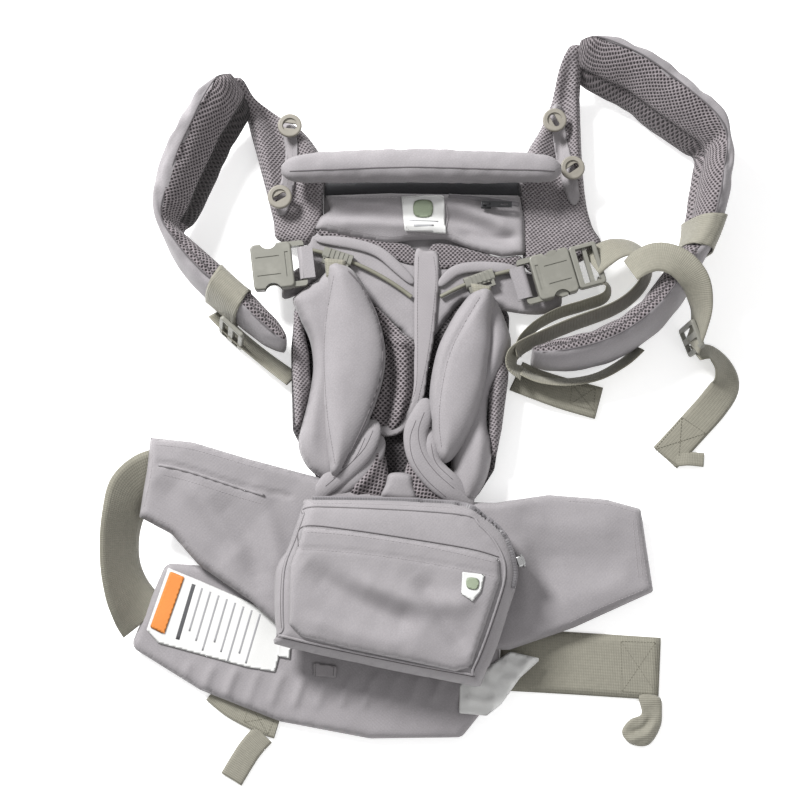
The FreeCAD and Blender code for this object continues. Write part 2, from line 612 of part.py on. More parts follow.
def pocket_zip():
    start, end = (-76, 181.6), (82, 178.8)
    zip_chains.append(strip_along([start, end], 5, 5, 24, 1.4))
    heading = math.degrees(math.atan2(end[1] - start[1], end[0] - start[0]))
    body = Part.makeBox(9, 7, 2.6, Vector(-4.5, -3.5, 1.7))
    body = body.makeFillet(0.9, body.Edges)
    bridge = Part.makeBox(6, 2.0, 2.2, Vector(-3, -1.0, 3.9))
    bridge = bridge.makeFillet(0.5, bridge.Edges)
    bridge = bridge.cut(Part.makeCylinder(0.6, 6, Vector(0.6, -3, 5.1), Vector(0, 1, 0)))
    x, y = HOOD_ZIP_AT
    add("hood_zip_slider", place(body.fuse(bridge), x, y, 24, heading))
    pull = Part.makeBox(21.9, 5, 1.2, Vector(0.1, -2.5, 4.5))
    pull = pull.cut(Part.makeBox(5, 2.4, 3, Vector(-1.4, -1.2, 3.6)))
    pull = pull.cut(Part.makeBox(6, 1.4, 3, Vector(12.5, -0.7, 3.6)))
    pin = Part.makeCylinder(0.45, 3, Vector(0.6, -1.5, 5.1), Vector(0, 1, 0))
    add("hood_zip_pull", place(pull.fuse(pin), x, y, 24, heading))
    turn = FreeCAD.Rotation(Vector(0, 0, 1), heading)
    pivot = Vector(x, y, 24 + 5.1) + turn.multVec(Vector(0.6, 0, 0)) - CENTRE
    print("hood zip pull pivot", tuple(round(v, 2) for v in pivot),
          "axis", tuple(round(v, 4) for v in turn.multVec(Vector(0, -1, 0))))


def strap_ring(run, near, far):
    """Band that goes right round one run of a shoulder strap, from near to far along it."""
    start, end, lean, centre_z, width = run
    step = Vector(end[0] - start[0], end[1] - start[1], 0).normalize()
    a = (start[0] + step.x * near, start[1] + step.y * near)
    b = (start[0] + step.x * far, start[1] + step.y * far)
    outer = leaning_band(a, b, lean, centre_z, width, STRAP_THICK, 2.2)
    inner_a = (a[0] - step.x * 5, a[1] - step.y * 5)
    inner_b = (b[0] + step.x * 5, b[1] + step.y * 5)
    return outer.cut(leaning_band(inner_a, inner_b, lean, centre_z, width, STRAP_THICK, 0.5))


def strap_fittings():
    """Elastic keepers round the shoulder straps, the strap locks and the shoulder webbing."""
    add("left_strap_keeper", strap_ring(LEFT_STRAP[1], *LEFT_KEEPER))
    add("right_strap_keeper", strap_ring(RIGHT_STRAP[1], *RIGHT_KEEPER))

    lock_plate = Part.makeBox(26, 36, 4, Vector(-13, -18, -2))
    lock_plate = upright_fillet(lock_plate, 3, 4)
    lock_plate = lock_plate.makeFillet(1.2, [e for e in lock_plate.Edges if e.BoundBox.ZLength < 1e-3])
    for x in (-9.0, 2.5):
        lock_plate = lock_plate.cut(Part.makeBox(6.5, 31, 10, Vector(x, -15.5, -5)))
    left_lock = lock_plate.copy()
    left_lock.Placement = band_placement(Vector(-162.2, 67.3, 22), -42.3, -100)
    chest_lock = lock_plate.copy()
    chest_lock.Placement = band_placement(Vector(231, 63, 21), -70, 80)
    add("strap_locks", left_lock, chest_lock)

    add("left_strap_webbing", slab([(-158, 62), (-142, 38), (-106, 16), (-92, 30), (-118, 46), (-148, 72)], 4,
                                   0, WEBBING_THICK))


def shoulder_webbing():
    low_loop = [(162, 114.5), (151, 101), (120, 89), (94, 78), (78, 64), (79, 46), (87, 34)]
    tail_loop = [(157, 129.5), (174, 138), (188, 133), (191, 117), (182, 102), (166, 93), (122, 74), (90, 64)]
    end = slab([(84, 24), (110, 12), (150, -3), (161, 12), (150, 22), (120, 21)], 2, 0, 2 * WEBBING_THICK)
    add("adjuster_webbing", standing_webbing(low_loop, 12, 4, SHOULDER_WEBBING),
        standing_webbing(tail_loop, 16, 4, SHOULDER_WEBBING), end)
    tail = slab([(244, 50), (252, 56), (263, 29), (258, 14), (229, -32), (212, -50), (192, -35), (217, -5),
                 (245, 23), (251, 38)], 3, 0, WEBBING_THICK)
    tip = slab([(226, -33), (243, -40), (241, -46), (216, -46)], 2, 0, WEBBING_THICK)
    band = strap_ring(RIGHT_STRAP[2], *CHEST_BAND)
    add("chest_webbing", tail.fuse(tip).removeSplitter(), band)


def labels():
    front = slab([(-16, 176), (16, 174), (20, 148), (-13, 150)], 1, 24, 24.8)
    small = slab([(30, -132), (46, -133), (40, -155), (30, -145)], 0.5, POUCH_TOP + 2.4, POUCH_TOP + 3.2)
    add("printed_labels", front, small)
    add("safety_label", slab([(-215, -137), (-165, -150), (-110, -205), (-122, -215), (-238, -188)], 2,
                             LUMBAR_TOP, LUMBAR_TOP + 0.7))
    booklet = [(36, -236), (66, -218), (94, -214), (62, -250), (28, -258)]
    add("care_label", slab(booklet, 2, LUMBAR_TOP, LUMBAR_TOP + BOOKLET_THICK))


def build():
    lumbar_pad()
    waist_belt()
    waist_webbing()
    pouch()
    body_panels()
    leg_pads()
    head_pillow()
    strap_bases()
    shoulder_straps()
    buckles()
    buttons()
    seat_rails()
    pocket_zip()
    strap_fittings()
    shoulder_webbing()
    labels()
    add("zip_chains", *zip_chains)


build()
os.makedirs("parts", exist_ok=True)
for old in os.listdir("parts"):
    if old.endswith(".step") and old[:-5] not in nodes:
        os.remove(os.path.join("parts", old))
whole = FreeCAD.BoundBox()
for name, shape in nodes.items():
    if not shape.isValid() or shape.Volume <= 0:
        print("NOT SOUND:", name, shape.isValid(), round(shape.Volume, 1))
    whole.add(shape.BoundBox)
    shape.exportStep(os.path.join("parts", name + ".step"))
print(len(nodes), "nodes;", "box", whole)
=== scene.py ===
"""Soft structured baby carrier laid out on a pale table, seen from above its waist belt.

Outlines, routes and sizes are given in millimetres, and MM turns them into the frame's metres.
"""
import math

import bmesh
import bpy
import numpy as np
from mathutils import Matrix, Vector, noise
from mathutils.bvhtree import BVHTree


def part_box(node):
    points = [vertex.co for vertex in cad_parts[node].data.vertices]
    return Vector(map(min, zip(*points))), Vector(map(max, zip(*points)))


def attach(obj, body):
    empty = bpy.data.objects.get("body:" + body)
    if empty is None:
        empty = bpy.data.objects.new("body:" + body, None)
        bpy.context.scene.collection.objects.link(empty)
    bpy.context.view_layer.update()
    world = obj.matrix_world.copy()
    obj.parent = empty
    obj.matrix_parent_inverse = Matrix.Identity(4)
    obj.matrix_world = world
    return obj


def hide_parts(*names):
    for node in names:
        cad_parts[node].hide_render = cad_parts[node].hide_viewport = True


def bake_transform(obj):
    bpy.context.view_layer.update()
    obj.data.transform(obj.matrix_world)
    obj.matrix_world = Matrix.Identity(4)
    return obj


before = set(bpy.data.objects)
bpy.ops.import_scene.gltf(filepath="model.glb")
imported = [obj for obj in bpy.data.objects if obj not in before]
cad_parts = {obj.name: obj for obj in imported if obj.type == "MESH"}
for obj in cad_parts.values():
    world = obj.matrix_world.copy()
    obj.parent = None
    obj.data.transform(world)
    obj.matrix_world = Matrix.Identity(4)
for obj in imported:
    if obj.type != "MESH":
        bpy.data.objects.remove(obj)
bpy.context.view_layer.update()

MM = 0.001
scene = bpy.context.scene
for chosen in bpy.context.selected_objects:
    chosen.select_set(False)


# ---- shader groups -------------------------------------------------------------------------------
def new_group(name, inputs, outputs):
    """Empty shader group; inputs are (name, type, default) and outputs (name, type)."""
    group = bpy.data.node_groups.new(name, "ShaderNodeTree")
    for label, kind, value in inputs:
        socket = group.interface.new_socket(label, in_out="INPUT", socket_type=kind)
        if value is not None:
            socket.default_value = value
    for label, kind in outputs:
        group.interface.new_socket(label, in_out="OUTPUT", socket_type=kind)
    return group, group.nodes.new("NodeGroupInput"), group.nodes.new("NodeGroupOutput")


class Graph:
    """Short ways to add and join shader nodes in one tree."""

    def __init__(self, tree):
        self.tree = tree

    def node(self, kind, **settings):
        made = self.tree.nodes.new(kind)
        for key, value in settings.items():
            setattr(made, key, value)
        return made

    def feed(self, socket, value):
        if hasattr(value, "is_output"):
            self.tree.links.new(value, socket)
        else:
            socket.default_value = value

    def math(self, operation, a, b=None, clamp=False):
        made = self.node("ShaderNodeMath", operation=operation, use_clamp=clamp)
        self.feed(made.inputs[0], a)
        if b is not None:
            self.feed(made.inputs[1], b)
        return made.outputs[0]

    def vector(self, operation, a, b=None):
        made = self.node("ShaderNodeVectorMath", operation=operation)
        self.feed(made.inputs[0], a)
        if b is not None:
            self.feed(made.inputs[1], b)
        return made.outputs[1 if operation == "LENGTH" else 0]

    def noise(self, where, scale, detail=3.0, rough=0.5):
        made = self.node("ShaderNodeTexNoise")
        self.feed(made.inputs["Vector"], where)
        made.inputs["Scale"].default_value = scale
        made.inputs["Detail"].default_value = detail
        made.inputs["Roughness"].default_value = rough
        return made.outputs[0]

    def ramp(self, value, low, high, to_low=0.0, to_high=1.0):
        made = self.node("ShaderNodeMapRange", interpolation_type="SMOOTHSTEP")
        self.feed(made.inputs["Value"], value)
        for label, number in zip(("From Min", "From Max", "To Min", "To Max"), (low, high, to_low, to_high)):
            self.feed(made.inputs[label], number)
        return made.outputs[0]

    def mix(self, share, a, b, blend="MIX"):
        made = self.node("ShaderNodeMix", data_type="RGBA", blend_type=blend)
        self.feed(made.inputs[0], share)
        self.feed(made.inputs[6], a)
        self.feed(made.inputs[7], b)
        return made.outputs[2]

    def on_all_axes(self, value):
        made = self.node("ShaderNodeCombineXYZ")
        for i in range(3):
            self.feed(made.inputs[i], value)
        return made.outputs[0]


def weave_group():
    """Plain weave with uneven yarns: a mask of yarn tops and a mottled tone."""
    group, given, made = new_group(
        "plain_weave",
        [("Vector", "NodeSocketVector", None), ("Threads", "NodeSocketFloat", 1500.0)],
        [("Height", "NodeSocketFloat"), ("Tone", "NodeSocketFloat")])
    g = Graph(group)
    where = given.outputs["Vector"]
    parts = g.node("ShaderNodeSeparateXYZ")
    group.links.new(where, parts.inputs[0])
    waver = g.noise(where, 160.0, 2.0)
    turns = []
    for axis in (0, 1):
        phase = g.math("MULTIPLY", parts.outputs[axis], given.outputs["Threads"])
        along = g.math("MULTIPLY", parts.outputs[2], given.outputs["Threads"])
        phase = g.math("ADD", phase, g.math("ADD", along, g.math("MULTIPLY", waver, 3.0)))
        turns.append(g.math("SINE", phase))
    yarns = g.math("MULTIPLY", turns[0], turns[1])
    group.links.new(g.ramp(yarns, -1.0, 1.0), made.inputs["Height"])
    fine = g.noise(where, 900.0, 2.0, 0.7)
    broad = g.noise(where, 22.0, 4.0, 0.6)
    tone = g.math("ADD", g.math("MULTIPLY", fine, 0.55), g.math("MULTIPLY", broad, 0.45))
    group.links.new(tone, made.inputs["Tone"])
    return group


def eyelet_group():
    """Staggered eyelets of knitted spacer mesh, in metres: a mask that is 1 in the holes, and a height."""
    group, given, made = new_group("mesh_eyelets",
                                   [("Vector", "NodeSocketVector", None),
                                    ("Pitch", "NodeSocketFloat", 0.0042),
                                    ("Hole", "NodeSocketFloat", 0.25)],
                                   [("Holes", "NodeSocketFloat"), ("Height", "NodeSocketFloat")])
    g = Graph(group)
    wobble = g.node("ShaderNodeTexNoise")
    wobble.inputs["Scale"].default_value = 70.0
    wobble.inputs["Detail"].default_value = 1.0
    group.links.new(given.outputs["Vector"], wobble.inputs["Vector"])
    bent = g.vector("MULTIPLY", g.vector("SUBTRACT", wobble.outputs[1], (0.5, 0.5, 0.5)),
                    (0.0016, 0.0016, 0.0))
    place = g.vector("ADD", given.outputs["Vector"], bent)
    scaled = g.vector("DIVIDE", place, g.on_all_axes(given.outputs["Pitch"]))
    nearest = None
    for shift in ((0.0, 0.0, 0.0), (0.5, 0.5, 0.0)):
        cell = g.vector("SUBTRACT", g.vector("FRACTION", g.vector("ADD", scaled, shift)), (0.5, 0.5, 0.0))
        flat = g.vector("MULTIPLY", cell, (1.0, 1.25, 0.0))
        far = g.vector("LENGTH", flat)
        nearest = far if nearest is None else g.math("MINIMUM", nearest, far)
    edge = g.math("ADD", given.outputs["Hole"], 0.11)
    holes = g.ramp(nearest, given.outputs["Hole"], edge, 1.0, 0.0)
    group.links.new(holes, made.inputs["Holes"])
    rib = g.ramp(nearest, 0.12, 0.42)
    group.links.new(rib, made.inputs["Height"])
    return group


def wear_group():
    """Fine moulded grain with faint rubbed patches, for plastic and metal."""
    group, given, made = new_group(
        "moulded_grain",
        [("Vector", "NodeSocketVector", None), ("Scale", "NodeSocketFloat", 1200.0)],
        [("Grain", "NodeSocketFloat"), ("Rub", "NodeSocketFloat")])
    g = Graph(group)
    grain = g.node("ShaderNodeTexNoise")
    grain.inputs["Detail"].default_value = 2.0
    group.links.new(given.outputs["Vector"], grain.inputs["Vector"])
    group.links.new(given.outputs["Scale"], grain.inputs["Scale"])
    group.links.new(grain.outputs[0], made.inputs["Grain"])
    rub = g.noise(given.outputs["Vector"], 90.0, 4.0, 0.65)
    group.links.new(g.ramp(rub, 0.45, 0.75), made.inputs["Rub"])
    return group


WEAVE = weave_group()
EYELETS = eyelet_group()
GRAIN = wear_group()


def start_material(name, rough, sheen=0.0, metallic=0.0):
    """New material with its shader, and a Graph of its tree."""
    material = bpy.data.materials.new(name)
    material.use_nodes = True
    g = Graph(material.node_tree)
    shader = material.node_tree.nodes["Principled BSDF"]
    shader.inputs["Roughness"].default_value = rough
    shader.inputs["Metallic"].default_value = metallic
    shader.inputs["Sheen Weight"].default_value = sheen
    shader.inputs["Sheen Roughness"].default_value = 0.5
    return material, g, shader


def placed_group(g, group, **values):
    """The shader group, put in the tree with its inputs fed."""
    made = g.node("ShaderNodeGroup", node_tree=group)
    for key, value in values.items():
        g.feed(made.inputs[key], value)
    return made


def bump(g, shader, height, strength, distance):
    """Feeds a height to the shader's normal."""
    made = g.node("ShaderNodeBump")
    made.inputs["Strength"].default_value = strength
    made.inputs["Distance"].default_value = distance
    g.feed(made.inputs["Height"], height)
    g.feed(shader.inputs["Normal"], made.outputs[0])


def cloth(name, colour, rough=0.88, sheen=0.12, threads=1900.0, mottle=0.09):
    """Plain woven cloth."""
    material, g, shader = start_material(name, rough, sheen)
    where = g.node("ShaderNodeTexCoord").outputs["Object"]
    weave = placed_group(g, WEAVE, Vector=where, Threads=threads)
    dark = [c * (1.0 - mottle) for c in colour] + [1.0]
    light = [min(1.0, c * (1.0 + mottle * 0.9)) for c in colour] + [1.0]
    tone = g.mix(g.ramp(weave.outputs["Tone"], 0.36, 0.64), dark, light)
    # painted shade in the dips between the yarns
    shade = g.mix(g.ramp(weave.outputs["Height"], 0.2, 0.6, 0.22, 0.0), tone, dark)
    g.feed(shader.inputs["Base Color"], shade)
    bump(g, shader, weave.outputs["Height"], 0.22, 0.00025)
    return material


def spacer_mesh(name, rib, hole, pitch=0.0043, size=0.2):
    """Knitted spacer mesh with eyelets, on a UV map in metres."""
    material, g, shader = start_material(name, 0.92, 0.1)
    where = g.node("ShaderNodeTexCoord")
    eyes = placed_group(g, EYELETS, Vector=where.outputs["UV"], Pitch=pitch, Hole=size)
    tone = g.noise(where.outputs["Object"], 500.0, 2.0, 0.6)
    dark = [c * 0.8 for c in rib] + [1.0]
    light = [min(1.0, c * 1.14) for c in rib] + [1.0]
    ribs = g.mix(g.ramp(tone, 0.35, 0.65), dark, light)
    # Painted shade: the ribs darken towards the eyelets, and the eyelets take the near-black hole colour.
    sunk = g.mix(g.ramp(eyes.outputs["Height"], 0.0, 1.0, 0.35, 0.0), ribs, list(hole) + [1.0])
    g.feed(shader.inputs["Base Color"], g.mix(eyes.outputs["Holes"], sunk, list(hole) + [1.0]))
    bump(g, shader, eyes.outputs["Height"], 0.8, 0.0012)
    return material


def ribbed(name, colour, across=4400.0, along=2600.0):
    """Webbing or elastic: ribs that run across the strip (UV in metres, V along it)."""
    material, g, shader = start_material(name, rough=0.75, sheen=0.15)
    where = g.node("ShaderNodeTexCoord")
    parts = g.node("ShaderNodeSeparateXYZ")
    g.feed(parts.inputs[0], where.outputs["UV"])
    waver = g.noise(where.outputs["UV"], 300.0, 2.0)
    lengthwise = g.math("SINE", g.math("ADD", g.math("MULTIPLY", parts.outputs[1], across),
                                       g.math("MULTIPLY", waver, 2.5)))
    crosswise = g.math("SINE", g.math("MULTIPLY", parts.outputs[0], along))
    height = g.math("ADD", g.math("MULTIPLY", lengthwise, 0.5), g.math("MULTIPLY", crosswise, 0.25))
    tone = g.noise(where.outputs["Object"], 260.0, 3.0, 0.6)
    dark = [c * 0.72 for c in colour] + [1.0]
    soft = [c * 0.94 for c in colour] + [1.0]
    light = [min(1.0, c * 1.05) for c in colour] + [1.0]
    base = g.mix(g.ramp(tone, 0.3, 0.7), soft, light)
    # painted shade in the dips between the ribs
    g.feed(shader.inputs["Base Color"], g.mix(g.ramp(height, -0.75, 0.1, 0.6, 0.0), base, dark))
    bump(g, shader, height, 0.5, 0.0004)
    return material


def moulded(name, colour, rough=0.42, metallic=0.0, grain=1500.0, rub=0.12):
    """Moulded plastic or plated metal."""
    material, g, shader = start_material(name, rough, 0.0, metallic)
    where = g.node("ShaderNodeTexCoord").outputs["Object"]
    wear = placed_group(g, GRAIN, Vector=where, Scale=grain)
    light = [min(1.0, c * (1.0 + rub)) for c in colour] + [1.0]
    g.feed(shader.inputs["Base Color"], g.mix(wear.outputs["Rub"], list(colour) + [1.0], light))
    g.feed(shader.inputs["Roughness"], g.ramp(wear.outputs["Rub"], 0.0, 1.0, rough, rough + 0.14))
    bump(g, shader, wear.outputs["Grain"], 0.12, 0.0002)
    return material


LAVENDER = cloth("lavender_cloth", (0.246, 0.232, 0.241))
# Near-black cloth: painted shade in the gap under the head pillow.
GAP_SHADE_CLOTH = cloth("painted_gap_shade", (0.030, 0.030, 0.033), mottle=0.1)
BINDING = cloth("binding_tape", (0.262, 0.246, 0.255), threads=2600.0, mottle=0.06)
AIR_MESH = spacer_mesh("air_mesh", (0.215, 0.190, 0.200), (0.016, 0.012, 0.014), size=0.18)
FINE_MESH = spacer_mesh("fine_air_mesh", (0.20, 0.178, 0.188), (0.020, 0.016, 0.018), pitch=0.0037, size=0.17)
SOFT_MESH = spacer_mesh("soft_air_mesh", (0.235, 0.212, 0.222), (0.055, 0.046, 0.051), pitch=0.0036,
                        size=0.14)
# Darker copies of the air mesh, painted shade on the lower inner faces of the straps: deep shade for the left
# strap, half shade for the right.
STRAP_SHADE_MESH = spacer_mesh("strap_shade_air_mesh", (0.046, 0.040, 0.042), (0.007, 0.006, 0.006), size=0.18)
STRAP_HALF_SHADE_MESH = spacer_mesh("half_strap_shade_air_mesh", (0.125, 0.110, 0.116), (0.011, 0.009, 0.010), size=0.18)
# Darkened copy of the air mesh: painted shade on the seat lining, deep between the leg pads.
DARK_MESH = spacer_mesh("shaded_air_mesh", (0.060, 0.052, 0.056), (0.008, 0.007, 0.008))
WEBBING = ribbed("sage_webbing", (0.222, 0.212, 0.170))
# Darker copy of the sage webbing: painted shade for the lower run of the adjuster webbing.
DARK_WEBBING = ribbed("shaded_webbing", (0.165, 0.157, 0.123))
ELASTIC = ribbed("sage_elastic", (0.220, 0.210, 0.170), across=3600.0, along=5200.0)
PLASTIC = moulded("sage_plastic", (0.178, 0.175, 0.152))
BUTTON = moulded("button_plastic", (0.205, 0.190, 0.160), rough=0.5)
STEEL = moulded("zip_steel", (0.55, 0.55, 0.55), rough=0.25, metallic=1.0, grain=500.0)
BLACK_METAL = moulded("black_metal", (0.03, 0.03, 0.032), rough=0.3, metallic=0.6)
ZIP_TEETH = moulded("zip_teeth_nylon", (0.13, 0.125, 0.13), rough=0.4)
CORD = moulded("rail_cord_skin", (0.165, 0.16, 0.125), rough=0.5)
THREAD = cloth("pale_thread", (0.33, 0.31, 0.32), threads=5000.0)
# Dark thread for some stitch rows; the same material draws thin lines of painted shade along seams, creases,
# a rim and a slit.
SHADE_LINES_AND_DARK_STITCHES = cloth("shade_lines_and_dark_stitches", (0.11, 0.100, 0.106), threads=5000.0)
SHADE_THREAD = cloth("webbing_thread", (0.14, 0.132, 0.10), threads=5000.0)
ZIP_TAPE = cloth("zip_tape_cloth", (0.17, 0.16, 0.17), threads=3500.0)
PAPER = cloth("label_satin", (0.60, 0.60, 0.59), rough=0.6, sheen=0.05, threads=4200.0, mottle=0.03)
ORANGE = cloth("label_orange", (0.58, 0.19, 0.03), rough=0.6, sheen=0.05, threads=4200.0, mottle=0.05)
INK = cloth("label_ink", (0.06, 0.06, 0.065), rough=0.6, sheen=0.0, threads=4200.0, mottle=0.05)
BAR_INK = cloth("label_bar_ink", (0.27, 0.27, 0.28), rough=0.6, sheen=0.0, threads=4200.0, mottle=0.05)
SAGE_INK = cloth("label_sage_ink", (0.23, 0.27, 0.19), rough=0.6, sheen=0.0, threads=4200.0, mottle=0.05)


# ---- mesh helpers --------------------------------------------------------------------------------
def finish_piece(name, verts, faces, materials, body, uvs=None, kinds=None, smooth=True):
    """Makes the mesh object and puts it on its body."""
    mesh = bpy.data.meshes.new(name)
    mesh.from_pydata([tuple(v) for v in verts], [], faces)
    for material in materials:
        mesh.materials.append(material)
    if uvs is not None:
        layer = mesh.uv_layers.new(name="flat")
        index = np.empty(len(mesh.loops), dtype=np.int32)
        mesh.loops.foreach_get("vertex_index", index)
        layer.data.foreach_set("uv", np.asarray(uvs, dtype=np.float32)[index].ravel())
    if kinds is not None:
        mesh.polygons.foreach_set("material_index", np.asarray(kinds, dtype=np.int32))
    mesh.polygons.foreach_set("use_smooth", [smooth] * len(mesh.polygons))
    mesh.update()
    made = bpy.data.objects.new(name, mesh)
    scene.collection.objects.link(made)
    if body:
        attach(made, body)
    return made


def footprints(node):
    """Outlines of a CAD node's lowest flat faces, one for each solid, in metres, left one first."""
    bm = bmesh.new()
    bm.from_mesh(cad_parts[node].data)
    bmesh.ops.remove_doubles(bm, verts=bm.verts, dist=1e-6)
    low = min(v.co.z for v in bm.verts)
    flat = {f for f in bm.faces if all(abs(v.co.z - low) < 2e-5 for v in f.verts)}
    ring = {}
    for face in flat:
        for loop in face.loops:
            if sum(1 for other in loop.edge.link_faces if other in flat) == 1:
                ring[loop.vert.index] = (loop.link_loop_next.vert.index, loop.vert.co.xy.copy())
    outlines = []
    while ring:
        here = next(iter(ring))
        points = []
        while here in ring:
            following, spot = ring.pop(here)
            points.append(spot)
            here = following
        if len(points) > 3:
            outlines.append(np.array(points))
    bm.free()
    outlines.sort(key=lambda o: o[:, 0].mean())
    return outlines


def smooth_line(points, per, closed=False):
    """Smooth curve through the points, with per steps between two of them."""
    p = np.asarray(points, dtype=float)
    n = len(p)
    out = []
    last = n if closed else n - 1
    for i in range(last):
        if closed:
            a, b, c, d = p[(i - 1) % n], p[i], p[(i + 1) % n], p[(i + 2) % n]
        else:
            a, b, c, d = p[max(i - 1, 0)], p[i], p[i + 1], p[min(i + 2, n - 1)]
        for k in range(per):
            t = k / per
            out.append(0.5 * (2 * b + (c - a) * t + (2 * a - 5 * b + 4 * c - d) * t * t
                              + (3 * b - a - 3 * c + d) * t ** 3))
    if not closed:
        out.append(p[-1])
    return np.array(out)


def resampled(line, step):
    """The polyline with points evenly step apart."""
    gaps = np.linalg.norm(np.diff(line, axis=0), axis=1)
    along = np.concatenate([[0], np.cumsum(gaps)])
    count = max(2, int(round(along[-1] / step)) + 1)
    marks = np.linspace(0, along[-1], count)
    return np.stack([np.interp(marks, along, line[:, i]) for i in range(line.shape[1])], axis=1)


def line_distance(xy, line, closed):
    """Distance from each point to a polyline, the nearest point on it and how far along it that is."""
    a = line if closed else line[:-1]
    b = np.roll(line, -1, axis=0) if closed else line[1:]
    run = b - a
    length = np.maximum((run * run).sum(-1), 1e-18)
    best = np.full(len(xy), 1e9)
    near = np.zeros_like(xy)
    share = np.zeros(len(xy))
    total = np.concatenate([[0], np.cumsum(np.sqrt(length))])
    for i in range(len(a)):
        t = np.clip(((xy - a[i]) @ run[i]) / length[i], 0, 1)
        spot = a[i] + t[:, None] * run[i]
        d = np.linalg.norm(xy - spot, axis=1)
        closer = d < best
        best[closer] = d[closer]
        near[closer] = spot[closer]
        share[closer] = (total[i] + t[closer] * math.sqrt(length[i])) / total[-1]
    return best, near, share


def inside(xy, line):
    """True for the points inside the closed outline."""
    result = np.zeros(len(xy), dtype=bool)
    for a, b in zip(line, np.roll(line, -1, axis=0)):
        crosses = (a[1] > xy[:, 1]) != (b[1] > xy[:, 1])
        with np.errstate(divide="ignore", invalid="ignore"):
            cut = (b[0] - a[0]) * (xy[:, 1] - a[1]) / (b[1] - a[1]) + a[0]
        result ^= crosses & (xy[:, 0] < cut)
    return result


def rumple(xy, size, seed, turn, stretch):
    """Smooth noise from -1 to 1 over the plane, longer along the direction turn when stretch is over 1."""
    c, s = math.cos(math.radians(turn)), math.sin(math.radians(turn))
    along = (xy[:, 0] * c + xy[:, 1] * s) / (size * stretch)
    across = (-xy[:, 0] * s + xy[:, 1] * c) / size
    return np.array([noise.noise(Vector((a, b, seed * 7.31))) for a, b in zip(along, across)])


def creases(xy, folds):
    """Sum of ridges and valleys, in metres: each fold is (points in mm, half width in mm, height in mm)."""
    total = np.zeros(len(xy))
    for points, wide, tall in folds:
        line = smooth_line(np.array(points) * MM, 6)
        d, _, share = line_distance(xy, line, False)
        taper = np.clip(np.minimum(share, 1 - share) * 5 + 0.15, 0, 1)
        total += tall * MM * taper * np.exp(-(d / (wide * MM)) ** 2)
    return total


RIM_REACH = 0.5     # grid points this many steps outside the outline still count
CELL_REACH = 0.35   # a cell is kept when a corner is this many steps inside the outline
RIM_CALM = 0.45     # share of the folds that fades out at the rim
THINNEST = 0.0006   # least thickness of a panel, in metres


def quilt(name, outline, low, top, roll, body, material, step=2.6, folds=(), waves=(), seams=(),
          rim=0.5, uv_turn=0.0, lift=None):
    """Padded panel: a closed grid inside the outline, rounded over at its rim.

    low, top, roll and step are in mm, and rim is the share of the height where the two faces meet.
    folds are (points, half width, height) in mm. waves are (height, size, seed, turn, stretch). seams are
    (points, half width, depth) in mm, pressed into the top. lift(xy) gives extra height of the whole panel
    in metres.
    """
    outline = np.asarray(outline)
    gap = step * MM
    corner = outline.min(0) - gap
    counts = np.ceil((outline.max(0) + gap - corner) / gap).astype(int) + 1
    gx, gy = np.meshgrid(np.arange(counts[0]), np.arange(counts[1]), indexing="ij")
    xy = np.stack([corner[0] + gx.ravel() * gap, corner[1] + gy.ravel() * gap], axis=1)
    far, near, _ = line_distance(xy, outline, True)
    signed = np.where(inside(xy, outline), far, -far)
    keep = {}
    cells = []
    index = gx * counts[1] + gy
    usable = signed > -RIM_REACH * gap
    for i in range(counts[0] - 1):
        for j in range(counts[1] - 1):
            quad = (index[i, j], index[i + 1, j], index[i + 1, j + 1], index[i, j + 1])
            if all(usable[q] for q in quad) and max(signed[q] for q in quad) > CELL_REACH * gap:
                cells.append(quad)
    for quad in cells:
        for q in quad:
            keep.setdefault(q, len(keep))
    order = np.array(list(keep))
    edge_use = {}
    for quad in cells:
        for a, b in zip(quad, quad[1:] + quad[:1]):
            edge_use.setdefault((min(a, b), max(a, b)), []).append((a, b))
    rim_edges = [pairs[0] for pairs in edge_use.values() if len(pairs) == 1]
    on_rim = {q for pair in rim_edges for q in pair}
    flat = xy[order].copy()
    depth = np.maximum(signed[order], 0.0)
    for k, q in enumerate(order):
        if q in on_rim:
            flat[k] = near[q]
            depth[k] = 0.0
    share = np.clip(depth / (roll * MM), 0, 1)
    profile = np.sqrt(1 - (1 - share) ** 2)
    rim_z = (low + rim * (top - low)) * MM
    fade = np.clip(depth / (0.6 * roll * MM), 0, 1)
    extra = creases(flat, folds)
    for tall, size, seed, turn, stretch in waves:
        extra += tall * MM * rumple(flat, size * MM, seed, turn, stretch)
    swell = extra * (1 - RIM_CALM + RIM_CALM * fade) * np.minimum(1, fade + 0.25)
    upper = rim_z + (top * MM - rim_z) * profile + swell
    for points, wide, deep in seams:
        line = smooth_line(np.array(points) * MM, 6)
        d, _, _ = line_distance(flat, line, False)
        upper -= deep * MM * np.exp(-(d / (wide * MM)) ** 2) * fade
    lower = rim_z - (rim_z - low * MM) * profile
    rimmed = np.array([q in on_rim for q in order])
    upper = np.where(rimmed, rim_z + np.clip(extra * 0.25, -0.001, 0.001), upper)
    upper = np.maximum(upper, lower + THINNEST)
    if lift is not None:
        rise = lift(flat)
        upper = upper + rise
        lower = lower + rise
    verts = [(x, y, z) for (x, y), z in zip(flat, upper)]
    under = {}
    for k, q in enumerate(order):
        if rimmed[k]:
            under[q] = k
        else:
            under[q] = len(verts)
            verts.append((flat[k][0], flat[k][1], lower[k]))
    faces = [tuple(keep[q] for q in quad) for quad in cells]
    for quad in cells:
        below = tuple(dict.fromkeys(under[q] for q in reversed(quad)))
        if set(below) != {keep[q] for q in quad}:
            faces.append(below)
    c, s = math.cos(math.radians(uv_turn)), math.sin(math.radians(uv_turn))
    uvs = [(v[0] * c + v[1] * s, -v[0] * s + v[1] * c) for v in verts]
    return finish_piece(name, verts, faces, [material], body, uvs)


